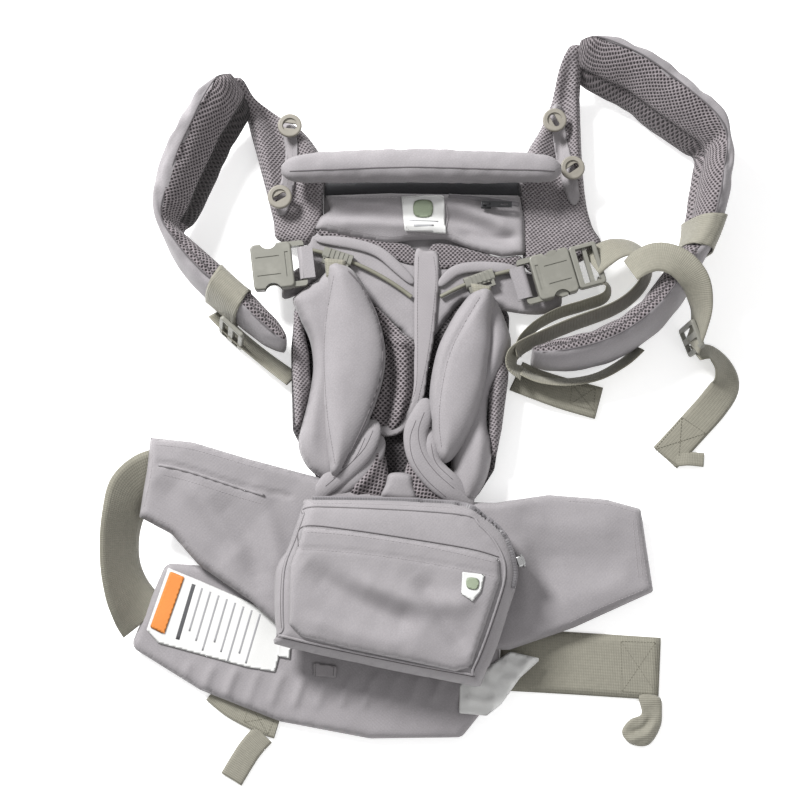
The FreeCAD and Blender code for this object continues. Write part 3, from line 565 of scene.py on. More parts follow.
def tube(name, line, radius, body, material, sides, flat=1.0, taper=0.0):
    """Flattened cloth tube along the line (in metres), drawn in over the share taper at each end."""
    p = np.asarray(line, dtype=float)
    share = np.linspace(0, 1, len(p))
    ends = np.clip(np.minimum(share, 1 - share) / max(taper, 1e-6), 0.0, 1.0) if taper else np.ones(len(p))
    reach = radius * np.maximum(np.sqrt(1 - (1 - ends) ** 2), 0.12)
    ahead = np.gradient(p, axis=0)
    ahead /= np.maximum(np.linalg.norm(ahead, axis=1), 1e-12)[:, None]
    up = np.array([0, 0, 1.0])
    side = np.cross(ahead, up)
    side /= np.maximum(np.linalg.norm(side, axis=1), 1e-9)[:, None]
    top = np.cross(side, ahead)
    verts, faces = [], []
    for i in range(len(p)):
        for k in range(sides):
            a = 2 * math.pi * k / sides
            verts.append(p[i] + reach[i] * (math.cos(a) * side[i] + math.sin(a) * flat * top[i]))
    for i in range(len(p) - 1):
        for k in range(sides):
            n = (k + 1) % sides
            faces.append((i * sides + k, i * sides + n, (i + 1) * sides + n, (i + 1) * sides + k))
    faces.append(tuple(reversed(range(sides))))
    faces.append(tuple((len(p) - 1) * sides + k for k in range(sides)))
    faces = [tuple(reversed(f)) for f in faces]
    return finish_piece(name, verts, faces, [material], body)


def surface_of(*pieces):
    """Search tree over the pieces' meshes, to rest things on them."""
    bm = bmesh.new()
    for piece in pieces:
        bm.from_mesh(piece.data)
    tree = BVHTree.FromBMesh(bm)
    bm.free()
    return tree


RAY_TOP = 0.2    # above everything, in metres


def rest_on(tree, xy, lift, fallback):
    """Heights of the surface under each (x, y), plus lift, all in metres."""
    out = []
    for x, y in xy:
        hit = tree.ray_cast(Vector((x, y, RAY_TOP)), Vector((0, 0, -1)))
        out.append((x, y, (hit[0].z if hit[0] is not None else fallback) + lift))
    return np.array(out)


def stitches(name, line, body, material, pitch, length=2.0, wide=0.55, tall=0.28):
    """Row of thread stitches along the line (points in metres)."""
    marks = resampled(np.asarray(line), pitch * MM)
    verts, faces = [], []
    for i in range(len(marks) - 1):
        run = marks[i + 1] - marks[i]
        far = np.linalg.norm(run)
        if far < 1e-9:
            continue
        ahead = run / far
        side = np.cross(ahead, (0, 0, 1.0))
        side /= max(np.linalg.norm(side), 1e-9)
        up = np.cross(side, ahead)
        middle = marks[i] + run / 2
        base = len(verts)
        for lengthways in (-1, 0, 1):
            high = tall * MM * (1.0 if lengthways == 0 else 0.35)
            spot = middle + ahead * lengthways * length * MM / 2
            for across in (-1, 1):
                verts.append(spot + side * across * wide * MM / 2 - up * tall * MM)
            verts.append(spot + up * high)
        for row in (0, 3):
            for a, b in ((0, 1), (1, 2), (2, 0)):
                faces.append((base + row + a, base + row + b, base + row + 3 + b, base + row + 3 + a))
        faces.append((base, base + 2, base + 1))
        faces.append((base + 6, base + 7, base + 8))
    return finish_piece(name, verts, faces, [material], body, smooth=False)


def ribbon(name, path, width, thick, body, material, per=7):
    """Flat webbing along path, which lists (x, y, z, roll) of its middle in mm and degrees.

    Roll 0 lies flat and roll 90 stands on edge.
    """
    rows = smooth_line(path, per)
    p = rows[:, :3] * MM
    roll = np.radians(rows[:, 3])
    ahead = np.gradient(p, axis=0)
    ahead /= np.maximum(np.linalg.norm(ahead, axis=1), 1e-9)[:, None]
    level = np.cross(ahead, (0, 0, 1.0))
    level /= np.maximum(np.linalg.norm(level, axis=1), 1e-9)[:, None]
    up = np.cross(level, ahead)
    along = np.concatenate([[0], np.cumsum(np.linalg.norm(np.diff(p, axis=0), axis=1))])
    w, t = width * MM / 2, thick * MM / 2
    section = []
    steps = 8
    for k in range(steps + 1):
        section.append((-w + 2 * w * k / steps, t if 0 < k < steps else 0.4 * t))
    for k in range(steps, -1, -1):
        section.append((-w + 2 * w * k / steps, -t if 0 < k < steps else -0.4 * t))
    n = len(section)
    verts, faces, uvs = [], [], []
    for i in range(len(p)):
        a = level[i] * math.cos(roll[i]) + up[i] * math.sin(roll[i])
        b = np.cross(a, ahead[i])
        for u, v in section:
            verts.append(p[i] + a * u + b * v)
            uvs.append((u, along[i]))
    for i in range(len(p) - 1):
        for k in range(n):
            m = (k + 1) % n
            faces.append((i * n + k, i * n + m, (i + 1) * n + m, (i + 1) * n + k))
    faces.append(tuple(reversed(range(n))))
    faces.append(tuple((len(p) - 1) * n + k for k in range(n)))
    made = finish_piece(name, verts, faces, [material], body, uvs)
    outward(made)
    return made


def outward(piece):
    """Turns every face of a closed piece outwards."""
    bm = bmesh.new()
    bm.from_mesh(piece.data)
    bmesh.ops.recalc_face_normals(bm, faces=bm.faces)
    bm.to_mesh(piece.data)
    bm.free()


CLOTH_STIFFNESS = 12.0


def inflate(piece, pressure, frames, cap, pinned=None):
    """Cloth simulation under gentle air pressure: the cover swells and puckers, by cap mm at most."""
    mesh = piece.data
    before = np.empty(len(mesh.vertices) * 3)
    mesh.vertices.foreach_get("co", before)
    before = before.reshape(-1, 3)
    cloth_modifier = piece.modifiers.new("cloth", "CLOTH")
    settings = cloth_modifier.settings
    settings.quality = 6
    settings.mass = 0.3
    settings.tension_stiffness = CLOTH_STIFFNESS
    settings.compression_stiffness = CLOTH_STIFFNESS
    settings.shear_stiffness = CLOTH_STIFFNESS * 0.5
    settings.bending_stiffness = 0.4
    settings.use_pressure = True
    settings.uniform_pressure_force = pressure
    settings.effector_weights.gravity = 0.0
    cloth_modifier.point_cache.frame_start = 1
    cloth_modifier.point_cache.frame_end = frames
    if pinned is not None:
        group = piece.vertex_groups.new(name="pinned")
        group.add([int(i) for i in np.nonzero(pinned)[0]], 1.0, "REPLACE")
        settings.vertex_group_mass = "pinned"
    for step in range(1, frames + 1):
        scene.frame_set(step)
    posed = piece.evaluated_get(bpy.context.evaluated_depsgraph_get())
    after = np.empty(len(mesh.vertices) * 3)
    posed.data.vertices.foreach_get("co", after)
    after = after.reshape(-1, 3)
    moved = after - before
    far = np.linalg.norm(moved, axis=1)
    limit = cap * MM
    scale = np.where(far > limit, limit / np.maximum(far, 1e-12), 1.0)
    piece.modifiers.remove(cloth_modifier)
    mesh.vertices.foreach_set("co", (before + moved * scale[:, None]).ravel())
    mesh.update()
    scene.frame_set(1)


def drawn(points, per=5, step=2.5):
    """Smooth closed outline through points in mm, as evenly spaced points in metres."""
    line = smooth_line(np.array(points, dtype=float) * MM, per, True)
    return resampled(np.vstack([line, line[:1]]), step * MM)[:-1]


def cut(points, step=2.0):
    """Closed outline with straight sides between points in mm, in metres."""
    line = np.array(list(points) + [points[0]], dtype=float) * MM
    return resampled(line, step * MM)[:-1]


BESIDE_SURFACE = 0.02   # height of a line's points that have no surface under them, in metres


def curve_on(tree, points, lift, step=2.0, per=6):
    """Line through (x, y) points in mm, laid on the surface and lifted by lift mm."""
    line = resampled(smooth_line(np.array(points, dtype=float) * MM, per), step * MM)
    return rest_on(tree, line, lift * MM, BESIDE_SURFACE)


def drape(name, points, tree, thick, body, material, lift=0.3, step=1.4, smooth=True):
    """Thin cloth laid on whatever is under it."""
    outline = drawn(points, 5, step) if smooth else cut(points, step)

    def heights(xy):
        return rest_on(tree, xy, lift * MM, 0.012)[:, 2]

    return quilt(name, outline, 0.0, thick, thick, body, material, step=step, lift=heights)


def stitched(name, tree, points, body, lift=0.15, pitch=3.0, material=THREAD):
    """Row of stitches along a line on a surface."""
    return stitches(name, curve_on(tree, points, lift), body, material, pitch)


def piping(name, tree, points, body, radius, lift, material):
    """Corded seam along a line on a surface; in the dark thread material it is a thin line of painted shade.
    """
    line = curve_on(tree, points, lift)
    return tube(name, line, radius * MM, body, material, 6)


PRINT_LIFT = 1.0    # printed bars stand this far above the label's cloth underneath, in mm


def bar_on(name, tree, points, width, body, material):
    """Printed bar on a label: a thin strip along a line on the surface."""
    line = curve_on(tree, points, PRINT_LIFT, step=3.0, per=2) / MM
    path = [(x, y, z, 0) for x, y, z in line]
    return ribbon(name, path, width, 0.3, body, material, per=1)


# ---- shoulder straps -----------------------------------------------------------------------------
SECTION_SIDES = 48
STATION_STEPS = 9
MESH_FROM = 186         # degrees round the section where the mesh face starts, at the lower edge
STRAP_SHADE_MESH_TO = 244      # degrees where the painted shade on the inner mesh ends
CREASE_AT = 246         # degrees where the inner face is creased
CREASE_HALF = 11
SEAM_RADIUS = 0.0007


def strap_frames(stations):
    """Smooth stations of a strap.

    Gives middle, width, thickness, lean of the top edge, outward direction and where the mesh face ends.
    """
    rows = smooth_line(stations, STATION_STEPS)
    p = rows[:, :3] * MM
    ahead = np.gradient(p, axis=0)
    ahead[:, 2] = 0
    ahead /= np.maximum(np.linalg.norm(ahead, axis=1), 1e-9)[:, None]
    side = 1 if stations[0][0] < 0 else -1
    out = side * np.cross(ahead, (0, 0, 1.0))
    return p, rows[:, 3] * MM, rows[:, 4] * MM, np.radians(rows[:, 5]), out, rows[:, 6]


def strap_point(p, width, thick, lean, out, angle, squareness=2.6):
    """Point on a strap's section: angle 0 is its top edge, 90 its outer face and 270 its inner face."""
    up = out * math.sin(lean) + np.array((0, 0, 1.0)) * math.cos(lean)
    face = out * math.cos(lean) - np.array((0, 0, 1.0)) * math.sin(lean)
    c, s = math.cos(angle), math.sin(angle)
    reach = (abs(c) ** squareness + abs(s) ** squareness) ** (-1 / squareness)
    return p + up * (width / 2) * reach * c + face * (thick / 2) * reach * s


def padded_strap(name, stations, replaced, shade_reach, deep):
    """Padded strap: spacer mesh on its inner face, plain cloth on its outer face and over its top edge.

    The lower half of the inner face gets the darker mesh deep, which is painted shade, up to the given
    distance in mm along the strap.
    """
    p, width, thick, lean, out, turn = strap_frames(stations)
    count, n = len(p), SECTION_SIDES
    along = np.concatenate([[0], np.cumsum(np.linalg.norm(np.diff(p, axis=0), axis=1))])
    verts, uvs, faces, kinds = [], [], [], []
    for i in range(count):
        around, last = 0.0, None
        end = math.sqrt(min(1.0, min(i, count - 1 - i) / 5.0 + 0.10))
        for k in range(n):
            angle = 2 * math.pi * k / n
            spot = strap_point(p[i], width[i], thick[i] * end, lean[i], out[i], angle)
            if last is not None:
                around += float(np.linalg.norm(spot - last))
            last = spot
            ripple = noise.noise(Vector((along[i] / 0.015, math.cos(angle) * 1.3, math.sin(angle) * 1.3)))
            broad = noise.noise(Vector((along[i] / 0.05, math.cos(angle) + 9, math.sin(angle))))
            edge = max(0.0, math.cos(angle)) ** 2
            fold = math.exp(-((math.degrees(angle) - CREASE_AT) / CREASE_HALF) ** 2)
            swell = 1 + (0.05 + 0.07 * edge) * ripple + 0.05 * broad - 0.45 * fold * end
            verts.append(p[i] + (spot - p[i]) * swell)
            uvs.append((around, along[i]))
    for i in range(count - 1):
        for k in range(n):
            m = (k + 1) % n
            faces.append((i * n + k, i * n + m, (i + 1) * n + m, (i + 1) * n + k))
            middle = 360.0 * (k + 0.5) / n
            reach = turn[i] - 360 if turn[i] > 360 else 0
            if MESH_FROM < middle < turn[i] or middle < reach:
                # slot 2, the darker mesh, is painted shade on the lower inner face
                kinds.append(2 if middle < STRAP_SHADE_MESH_TO and along[i] < shade_reach * MM else 0)
            else:
                kinds.append(1)
    faces.append(tuple(reversed(range(n))))
    faces.append(tuple((count - 1) * n + k for k in range(n)))
    kinds += [0, 1]
    made = finish_piece(name, verts, faces, [AIR_MESH, LAVENDER, deep], "carrier", uvs, kinds)
    outward(made)
    pinned = np.zeros(len(verts), dtype=bool)
    pinned[: 3 * n] = True
    pinned[-3 * n:] = True
    inflate(made, pressure=2.5, frames=14, cap=2.5, pinned=pinned)
    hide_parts(*replaced)
    rim = [strap_point(p[i], width[i], thick[i] * 1.03, lean[i], out[i], math.radians(turn[i]))
           for i in range(3, count - 3)]
    # Dark tube along the seam between mesh and cloth: the seam, drawn as a line of painted shade in its
    # groove.
    tube(name + "_seam", np.array(rim), SEAM_RADIUS, "carrier", SHADE_LINES_AND_DARK_STITCHES, 6)


BAND_GROW = 2.2    # gap between the strap and the band's outer face, in mm
BAND_THICK = 1.3
BAND_ROWS = 15


def band_round(name, stations, first, last, body, replaced, skew):
    """Elastic band right round a strap between two shares of its length, wrinkled and a little skewed."""
    p, width, thick, lean, out, _ = strap_frames(stations)
    count = len(p)
    picks = np.linspace(first * (count - 1), last * (count - 1), BAND_ROWS)
    half = BAND_ROWS // 2
    n = SECTION_SIDES
    verts, uvs, faces = [], [], []

    def station(t):
        i = max(0, min(int(t), count - 2))
        f = t - i
        return [a[i] * (1 - f) + a[i + 1] * f for a in (p, width, thick, lean, out)]

    origin = station(picks[0])[0]
    for skin in (BAND_GROW, BAND_GROW - BAND_THICK):
        for j, t in enumerate(picks):
            for k in range(n):
                angle = 2 * math.pi * k / n
                middle, w, th, ln, hd = station(t + skew * math.sin(angle))
                flare = 1.2 * (abs(j - half) / half) ** 3 * (0.5 + noise.noise(Vector((angle * 2, skin, 3))))
                spread = 2 * (skin + flare) * MM
                verts.append(strap_point(middle, w + spread, th + spread, ln, hd, angle, 2.8))
                uvs.append((angle * 0.02, float(np.linalg.norm(middle - origin))))
    m = len(picks)
    for i in range(m - 1):
        for k in range(n):
            j = (k + 1) % n
            b = m * n
            faces.append((i * n + k, i * n + j, (i + 1) * n + j, (i + 1) * n + k))
            faces.append((b + (i + 1) * n + k, b + (i + 1) * n + j, b + i * n + j, b + i * n + k))
    for k in range(n):
        j = (k + 1) % n
        b, e = m * n, (m - 1) * n
        faces.append((k, b + k, b + j, j))
        faces.append((e + j, b + e + j, b + e + k, e + k))
    made = finish_piece(name, verts, faces, [ELASTIC], body, uvs)
    outward(made)
    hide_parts(replaced)


# middle x, y, z, width, thickness, outward lean of the top edge and the angle where the mesh face ends
LEFT_STRAP = [
    (-158, 277, 35, 40, 12, 26, 430), (-168, 264, 36, 58, 16, 33, 352), (-185, 240, 35, 66, 18, 34, 322),
    (-200, 208, 35, 66, 19, 34, 319), (-212, 174, 34, 62, 18, 30, 320), (-217, 154, 33, 54, 13, 16, 338),
    (-210, 136, 31, 50, 18, -2, 370), (-194, 117, 30, 50, 22, -8, 382), (-170, 95, 30, 50, 22, -10, 384),
    (-145, 73, 29, 48, 21, -10, 384), (-118, 50, 27, 42, 17, -6, 380),
]
RIGHT_STRAP = [
    (133, 304, 35, 40, 12, 24, 430), (151, 298, 36, 58, 16, 32, 352), (186, 283, 35, 66, 18, 33, 328),
    (216, 259, 35, 66, 19, 33, 328), (241, 238, 35, 62, 17, 30, 330), (250, 222, 34, 56, 13, 24, 336),
    (249, 200, 34, 60, 19, 20, 336), (243, 168, 34, 60, 20, 18, 342), (235, 138, 33, 58, 20, 10, 354),
    (219, 106, 31, 54, 22, -8, 376), (193, 74, 30, 52, 23, -12, 382), (160, 52, 29, 48, 23, -14, 384),
    (124, 42, 28, 44, 22, -14, 384), (92, 40, 26, 34, 15, -12, 384),
]
LEFT_KEEPER_SPAN = (0.765, 0.865)
RIGHT_KEEPER_SPAN = (0.565, 0.635)


def shoulder_straps():
    """Both padded straps, each with its elastic keeper."""
    # The lower inner faces get painted shade, deep on the left strap and half on the right.
    padded_strap("left_padded_strap", LEFT_STRAP, ("left_shoulder_strap_cover", "left_shoulder_strap_foam"),
                 132, STRAP_SHADE_MESH)
    padded_strap("right_padded_strap", RIGHT_STRAP,
                 ("right_shoulder_strap_cover", "right_shoulder_strap_foam"), 150, STRAP_HALF_SHADE_MESH)
    band_round("left_elastic_keeper", LEFT_STRAP, *LEFT_KEEPER_SPAN, "left_keeper", "left_strap_keeper", 0.8)
    band_round("right_elastic_keeper", RIGHT_STRAP, *RIGHT_KEEPER_SPAN, "right_keeper", "right_strap_keeper",
               -0.8)


PEAK_LIFT = 0.034   # how far the bases rise at the straps' peaks, in metres


def strap_bases():
    """Spacer mesh yokes that fold up into the straps at their peaks."""
    left = [(-165, 280), (-157, 264), (-151, 243), (-143, 214), (-137, 191), (-130, 163), (-126, 146),
            (-100, 142), (-88, 160), (-87, 184), (-89, 219), (-104, 243), (-120, 254), (-134, 262),
            (-147, 270), (-156, 281)]
    right = [(90, 222), (103, 246), (113, 270), (119, 296), (127, 310), (137, 310), (138, 293), (138, 265),
             (139, 217), (142, 179), (147, 158), (154, 140), (126, 122), (94, 117), (86, 135), (85, 189)]
    left_folds = [([(-152, 276), (-126, 240), (-112, 205), (-108, 165)], 5, -5),
                  ([(-150, 262), (-138, 222), (-128, 170)], 8, 7),
                  ([(-118, 256), (-102, 225), (-95, 185)], 9, 7)]
    right_folds = [([(128, 312), (124, 262), (118, 210), (120, 160)], 5, -5),
                   ([(112, 280), (102, 240), (96, 190)], 9, 7), ([(134, 300), (134, 240), (136, 180)], 7, 7)]

    def rise(start, peak):
        return lambda xy: PEAK_LIFT * np.clip((xy[:, 1] - start) / (peak - start), 0, 1) ** 1.3

    made = quilt("left_mesh_base", drawn(left), 6, 17, 8, "carrier", SOFT_MESH, folds=left_folds,
                 waves=[(1.6, 40, 3, 70, 2)], uv_turn=12, lift=rise(0.256, 0.282))
    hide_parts("left_strap_base")
    tree = surface_of(made)
    tape = drape("left_button_tape",
                 [(-124, 250), (-113, 250), (-109, 220), (-117, 172), (-127, 172), (-120, 220)], tree, 1.0,
                 "carrier", BINDING)
    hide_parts("button_tapes")
    stitched("left_tape_stitches", tree, [(-118, 246), (-114, 222), (-122, 176)], "carrier", 1.4)
    made = quilt("right_mesh_base", drawn(right), 6, 17, 8, "carrier", SOFT_MESH,
                 folds=right_folds, waves=[(1.6, 40, 5, 95, 2)], uv_turn=-8, lift=rise(0.272, 0.310))
    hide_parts("right_strap_base")
    tree = surface_of(made)
    drape("right_button_tape", [(113, 264), (123, 264), (126, 232), (136, 184), (126, 180), (114, 232)],
          tree, 1.0, "carrier", BINDING)
    stitched("right_tape_stitches", tree, [(118, 260), (120, 234), (131, 186)], "carrier", 1.4)


# ---- waist belt ----------------------------------------------------------------------------------
LEFT_TIP_LIFT = 0.011
RIGHT_WING_DROP = 0.009


def waist_belt():
    """Each half of the belt is one piece of cloth that bends with its wing."""
    left_outline = cut([(-230, -30), (-194, -34), (-149, -47), (-90, -62), (-40, -76), (-20, -80),
                        (-20, -204), (-98, -204), (-120, -188), (-144, -167), (-189, -136), (-211, -111),
                        (-238, -97), (-232, -56)], 2.5)
    folds = [([(-222, -64), (-196, -92), (-160, -132)], 12, -3.5),
             ([(-206, -66), (-176, -94), (-146, -140)], 10, 3.0),
             ([(-176, -78), (-150, -112), (-134, -160)], 11, -4),
             ([(-148, -66), (-130, -100), (-120, -152)], 9, 3)]

    def raised_tip(xy):
        return LEFT_TIP_LIFT * np.clip((xy[:, 1] - xy[:, 0] - 0.040) / 0.12, 0, 1)

    left = quilt("left_belt_half", left_outline, 12, 25, 7, None, LAVENDER, folds=folds,
                 lift=raised_tip, waves=[(1.6, 44, 11, -50, 2.6), (0.3, 9, 12, -50, 2)],
                 seams=[([(-222, -52), (-198, -57), (-153, -71), (-112, -79)], 1.6, 2.2)])
    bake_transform(left)
    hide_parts("left_wing_cover", "left_wing_foam", "left_wing_pocket")

    def lower_wing(xy):
        share = np.clip((xy[:, 0] - 0.062) / 0.05, 0, 1)
        return -RIGHT_WING_DROP * share * share * (3 - 2 * share)

    right_outline = cut([(-20, -80), (28, -83), (61, -84), (106, -76), (155, -80), (184, -88), (188, -120),
                         (193, -158), (126, -188), (71, -207), (-20, -204)], 2.5)
    folds = [([(84, -96), (120, -104), (168, -104)], 14, 2.0),
             ([(80, -140), (120, -134), (170, -140)], 16, -2.5),
             ([(86, -180), (130, -166), (178, -146)], 12, 2.0),
             ([(76, -110), (86, -150), (82, -190)], 9, 3)]
    right = quilt("right_belt_half", right_outline, 12, 25, 7, None, LAVENDER, folds=folds,
                  waves=[(1.4, 60, 13, 20, 2.4), (0.3, 9, 14, 0, 2)], lift=lower_wing)
    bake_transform(right)
    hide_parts("right_wing_cover", "right_wing_foam", "waist_belt_cover", "waist_belt_foam")

    tree = surface_of(left)
    welt = [(-222, -54), (-198, -59), (-153, -73), (-134, -79)]
    piping("left_pocket_welt", tree, welt, "left_wing", 1.3, 0.6, LAVENDER)
    stitched("left_pocket_stitches", tree, [(-218, -62), (-195, -68), (-153, -81), (-136, -86)], "left_wing")
    stitched("left_hem_stitches", tree, [(-225, -37), (-193, -41), (-150, -53), (-134, -57)], "left_wing")
    stitched("left_edge_stitches", tree, [(-228, -42), (-228, -60), (-234, -92)], "left_wing")
    stitched("left_lower_stitches", tree, [(-226, -98), (-207, -107), (-186, -130), (-150, -156)],
             "left_wing")
    tree = surface_of(right)
    for offset in (0, 3.5):
        stitched("right_slot_stitches_%d" % (offset > 0), tree,
                 [(176 + offset, -98), (178 + offset, -120), (180 + offset, -146)], "right_wing", pitch=2.2)
    stitched("right_hem_stitches", tree, [(122, -82), (155, -85), (180, -92)], "right_wing")
    stitched("right_edge_stitches", tree, [(184, -96), (184, -120), (188, -152)], "right_wing")
    stitched("right_lower_stitches", tree, [(122, -184), (150, -171), (184, -157)], "right_wing")


PUCKERS = 13
LABEL_BARS = 9


def lumbar_pad():
    """Padded flap below the belt, puckered along its bound edge, with its belt loop, tags and labels."""
    base = footprints("lumbar_pad_cover")[0]
    folds = []
    for i in range(PUCKERS):
        share = i / (PUCKERS - 1)
        x = -205 + 232 * share
        y = -222 - 26 * math.sin(math.pi * (share * 0.55 + 0.2)) - 8
        folds.append(([(x, y), (x + 5, y + 16), (x + 11, y + 30)], 3.5, 1.5 + (i * 7 % 3) * 0.5))
    made = quilt("lumbar_flap", base, 0.3, 11, 7, "carrier", LAVENDER, folds=folds,
                 waves=[(1.6, 45, 17, 15, 2.5), (0.6, 14, 18, 70, 2.5)])
    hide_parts("lumbar_pad_cover", "lumbar_pad_foam")
    tree = surface_of(made)
    label = [(-215, -138), (-188, -149), (-113, -181), (-124, -225), (-148, -221), (-222, -201), (-232, -190)]
    sheet = drape("caution_label", label, tree, 0.5, "carrier", PAPER, 0.4, smooth=False)
    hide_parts("safety_label")
    drape("label_colour_patch", [(-213, -141), (-201, -146), (-217, -194), (-229, -188)], tree, 0.35,
          "carrier", ORANGE, 1.0, smooth=False)
    for row in range(LABEL_BARS):
        x = -193 + row * 7.0
        y = -152 - row * 3.1
        long = 46 - (row * 5 % 3) * 5
        wide = 3.4 if row == 0 else 1.6
        bar_on("label_bar_%d" % row, tree, [(x, y), (x - long * 0.28, y - long)], wide, "carrier",
               INK if row == 0 else BAR_INK)
    drape("size_tag", [(-121, -200), (-111, -202), (-112, -214), (-122, -212)], tree, 0.6, "carrier",
          PAPER, 0.8, smooth=False)
    drape("belt_loop", [(-92, -217), (-72, -220), (-73, -230), (-92, -228)], tree, 1.4, "carrier",
          BINDING, 0.3, smooth=False)
    for x in (-90, -75):
        stitched("belt_loop_bar_%d" % abs(x), tree, [(x, -218.5), (x - 0.5, -228.5)], "carrier", 1.8, 2.0,
                 SHADE_LINES_AND_DARK_STITCHES)
    crumpled = [([(38, -232), (56, -240), (60, -256)], 5, 4), ([(50, -222), (72, -232), (86, -226)], 5, 4),
                ([(64, -214), (78, -222), (92, -216)], 4, 3.5), ([(34, -246), (48, -250), (66, -246)], 4, 3)]
    booklet = quilt("care_booklet",
                    cut([(30, -234), (48, -224), (72, -208), (98, -214), (80, -230), (64, -252), (52, -261),
                         (29, -259)]), 11.2, 13, 2, "carrier", PAPER, step=1.8,
                    folds=crumpled, waves=[(2.2, 12, 61, 40, 1.5), (0.8, 5, 62, 0, 1)])
    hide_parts("care_label")


# ---- carrier body --------------------------------------------------------------------------------
def body_panels():
    """Layers of the carrier's body from the seat lining, darkened as painted shade, up to the yokes, with a
    black sheet of painted shade in the gap under the pillow.
    """
    # The seat lining uses the darkened mesh: painted shade deep under the seat mesh.
    seat = quilt("seat_lining", footprints("seat_panel")[0], 6, 11, 5, "carrier", DARK_MESH,
                 waves=[(1.2, 35, 21, 80, 2)])
    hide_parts("seat_panel")
    upper = quilt("upper_lining", footprints("upper_panel")[0], 3, 10, 5, "carrier", LAVENDER,
                  waves=[(0.8, 35, 22, 0, 2)])
    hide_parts("upper_panel")
    # Black sheet in the gap under the pillow: painted shade
    quilt("head_gap_shade_sheet", cut([(-86, 198), (84, 200), (84, 184), (-86, 184)], 2.5), 10.2, 12, 2, "carrier",
          GAP_SHADE_CLOTH, waves=[(0.6, 20, 24, 0, 3)])
    left = [(-99, 150), (-85, 154), (-64, 148), (-43, 143), (-24, 138), (-4, 132), (-4, 54), (-16, 63),
            (-34, 80), (-52, 95), (-76, 108), (-95, 106), (-108, 98), (-121, 94), (-121, 106), (-113, 118),
            (-102, 128)]
    right = [(8, 130), (42, 128), (68, 124), (87, 119), (107, 112), (118, 102), (118, 86), (98, 80), (67, 84),
             (54, 90), (35, 92), (22, 78), (12, 64), (6, 58)]
    for side, outline, replaced in (("left", left, "side_yokes"), ("right", right, None)):
        made = quilt(side + "_yoke", drawn(outline, 4), 6, 15, 4, "carrier", LAVENDER,
                     waves=[(1.0, 22, 31, 20, 2)])
        if replaced:
            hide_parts(replaced)
    quilt("left_mesh_triangle",
          drawn([(-91, 156), (-63, 150), (-33, 146), (-7, 138), (-6, 122), (-33, 131), (-59, 140),
                 (-87, 148)], 4, 2), 12, 17, 3, "carrier", FINE_MESH, step=1.8)
    quilt("right_mesh_triangle",
          drawn([(8, 142), (42, 137), (66, 130), (84, 131), (86, 119), (42, 122), (10, 120)], 4, 2), 12, 17,
          3, "carrier", FINE_MESH, step=1.8)


def hood_pocket():
    """Soft pocket under the pillow, with its label and its zip tape."""
    folds = [([(-84, 168), (-50, 170), (-24, 166), (30, 162), (84, 140)], 6, -5),
             ([(-86, 160), (-50, 159), (-10, 157), (24, 153)], 6, 5),
             ([(10, 178), (44, 168), (80, 152)], 6, 4), ([(30, 152), (60, 146), (84, 148)], 4, -4),
             ([(-70, 182), (-50, 176), (-30, 178)], 5, 3)]
    pocket = [(-85, 185), (-30, 187), (84, 185), (88, 160), (88, 132), (68, 130), (42, 137), (19, 146),
              (-11, 145), (-30, 142), (-63, 148), (-94, 155), (-89, 166), (-80, 172)]
    hood = quilt("hood_pocket_cloth", cut(pocket, 2.5), 10.6, 21, 8, "carrier", LAVENDER, step=2.2,
                 folds=folds, waves=[(1.3, 26, 23, 10, 3), (0.4, 9, 25, 0, 2)])
    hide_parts("hood_pocket")
    tree = surface_of(hood)
    label = drape("hood_label", [(-19, 183), (18, 184), (20, 149), (-16, 151)], tree, 0.5, "carrier",
                  PAPER, 0.4, smooth=False)
    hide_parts("printed_labels")
    drape("hood_label_mark", [(-7, 178), (7, 178), (7, 166), (-7, 166)], tree, 0.3, "carrier",
          SAGE_INK, 0.9, 1.5, smooth=True)
    for row, (a, b) in enumerate(((-12, 13), (-8, 9))):
        y = 160 - 4.5 * row
        bar_on("hood_label_bar_%d" % row, tree, [(a, y), (b, y)], 1.8, "carrier", BAR_INK)
    stitched("hood_label_stitches", tree, [(-17, 181), (16, 182), (18, 151), (-14, 153), (-17, 181)],
             "carrier", 1.0, 2.4)
    stitched("hood_top_stitches", tree, [(-82, 181), (-22, 182)], "carrier")
    stitched("hood_low_stitches", tree,
             [(-84, 158), (-60, 152), (-30, 147), (-10, 149), (20, 150), (42, 141)], "carrier")
    zip_line = curve_on(tree, [(22, 183), (50, 181), (83, 176)], 0.6)
    tube("hood_zip_tape", zip_line, 0.0022, "carrier", ZIP_TAPE, 6, flat=0.5)


WELT_HEIGHT = 17.5   # middle of the rail welts, in mm


def spine_and_welts():
    """Bound strip down the middle, and the soft welts that cover the ends of the rails."""
    spine = [(-7, 134), (2, 135), (12, 134), (14, 117), (12, 87), (9, 56), (4, 30), (1, 8), (-6, -10),
             (-16, -22), (-28, -27), (-42, -24), (-42, -19), (-30, -17), (-16, -6), (-9, 10), (-8, 38),
             (-8, 88)]
    made = quilt("spine_binding", drawn(spine, 4, 1.5), 15, 18.6, 1.5, "carrier", BINDING, step=1.5,
                 waves=[(0.8, 18, 27, 90, 3)])
    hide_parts("spine_strip")
    tree = surface_of(made)
    stitched("spine_stitches_left", tree, [(-4, 130), (-5, 88), (-5, 40), (-7, 12), (-16, -10)], "carrier",
             0.1, 2.6, SHADE_LINES_AND_DARK_STITCHES)
    stitched("spine_stitches_right", tree, [(9, 130), (11, 112), (9, 86), (5, 52), (0, 24), (-6, -2)],
             "carrier", 0.1, 2.6, SHADE_LINES_AND_DARK_STITCHES)
    for name, route in (("left_rail_welt", [(-94, 146), (-63, 142), (-40, 135), (-24, 122), (-8, 106)]),
                        ("right_rail_welt", [(13, 104), (27, 117), (45, 121), (67, 120), (84, 117)])):
        line = smooth_line(np.array([(x, y, WELT_HEIGHT) for x, y in route]) * MM, 6)
        tube(name, line, 0.0048, "carrier", LAVENDER, 12, flat=0.36, taper=0.25)


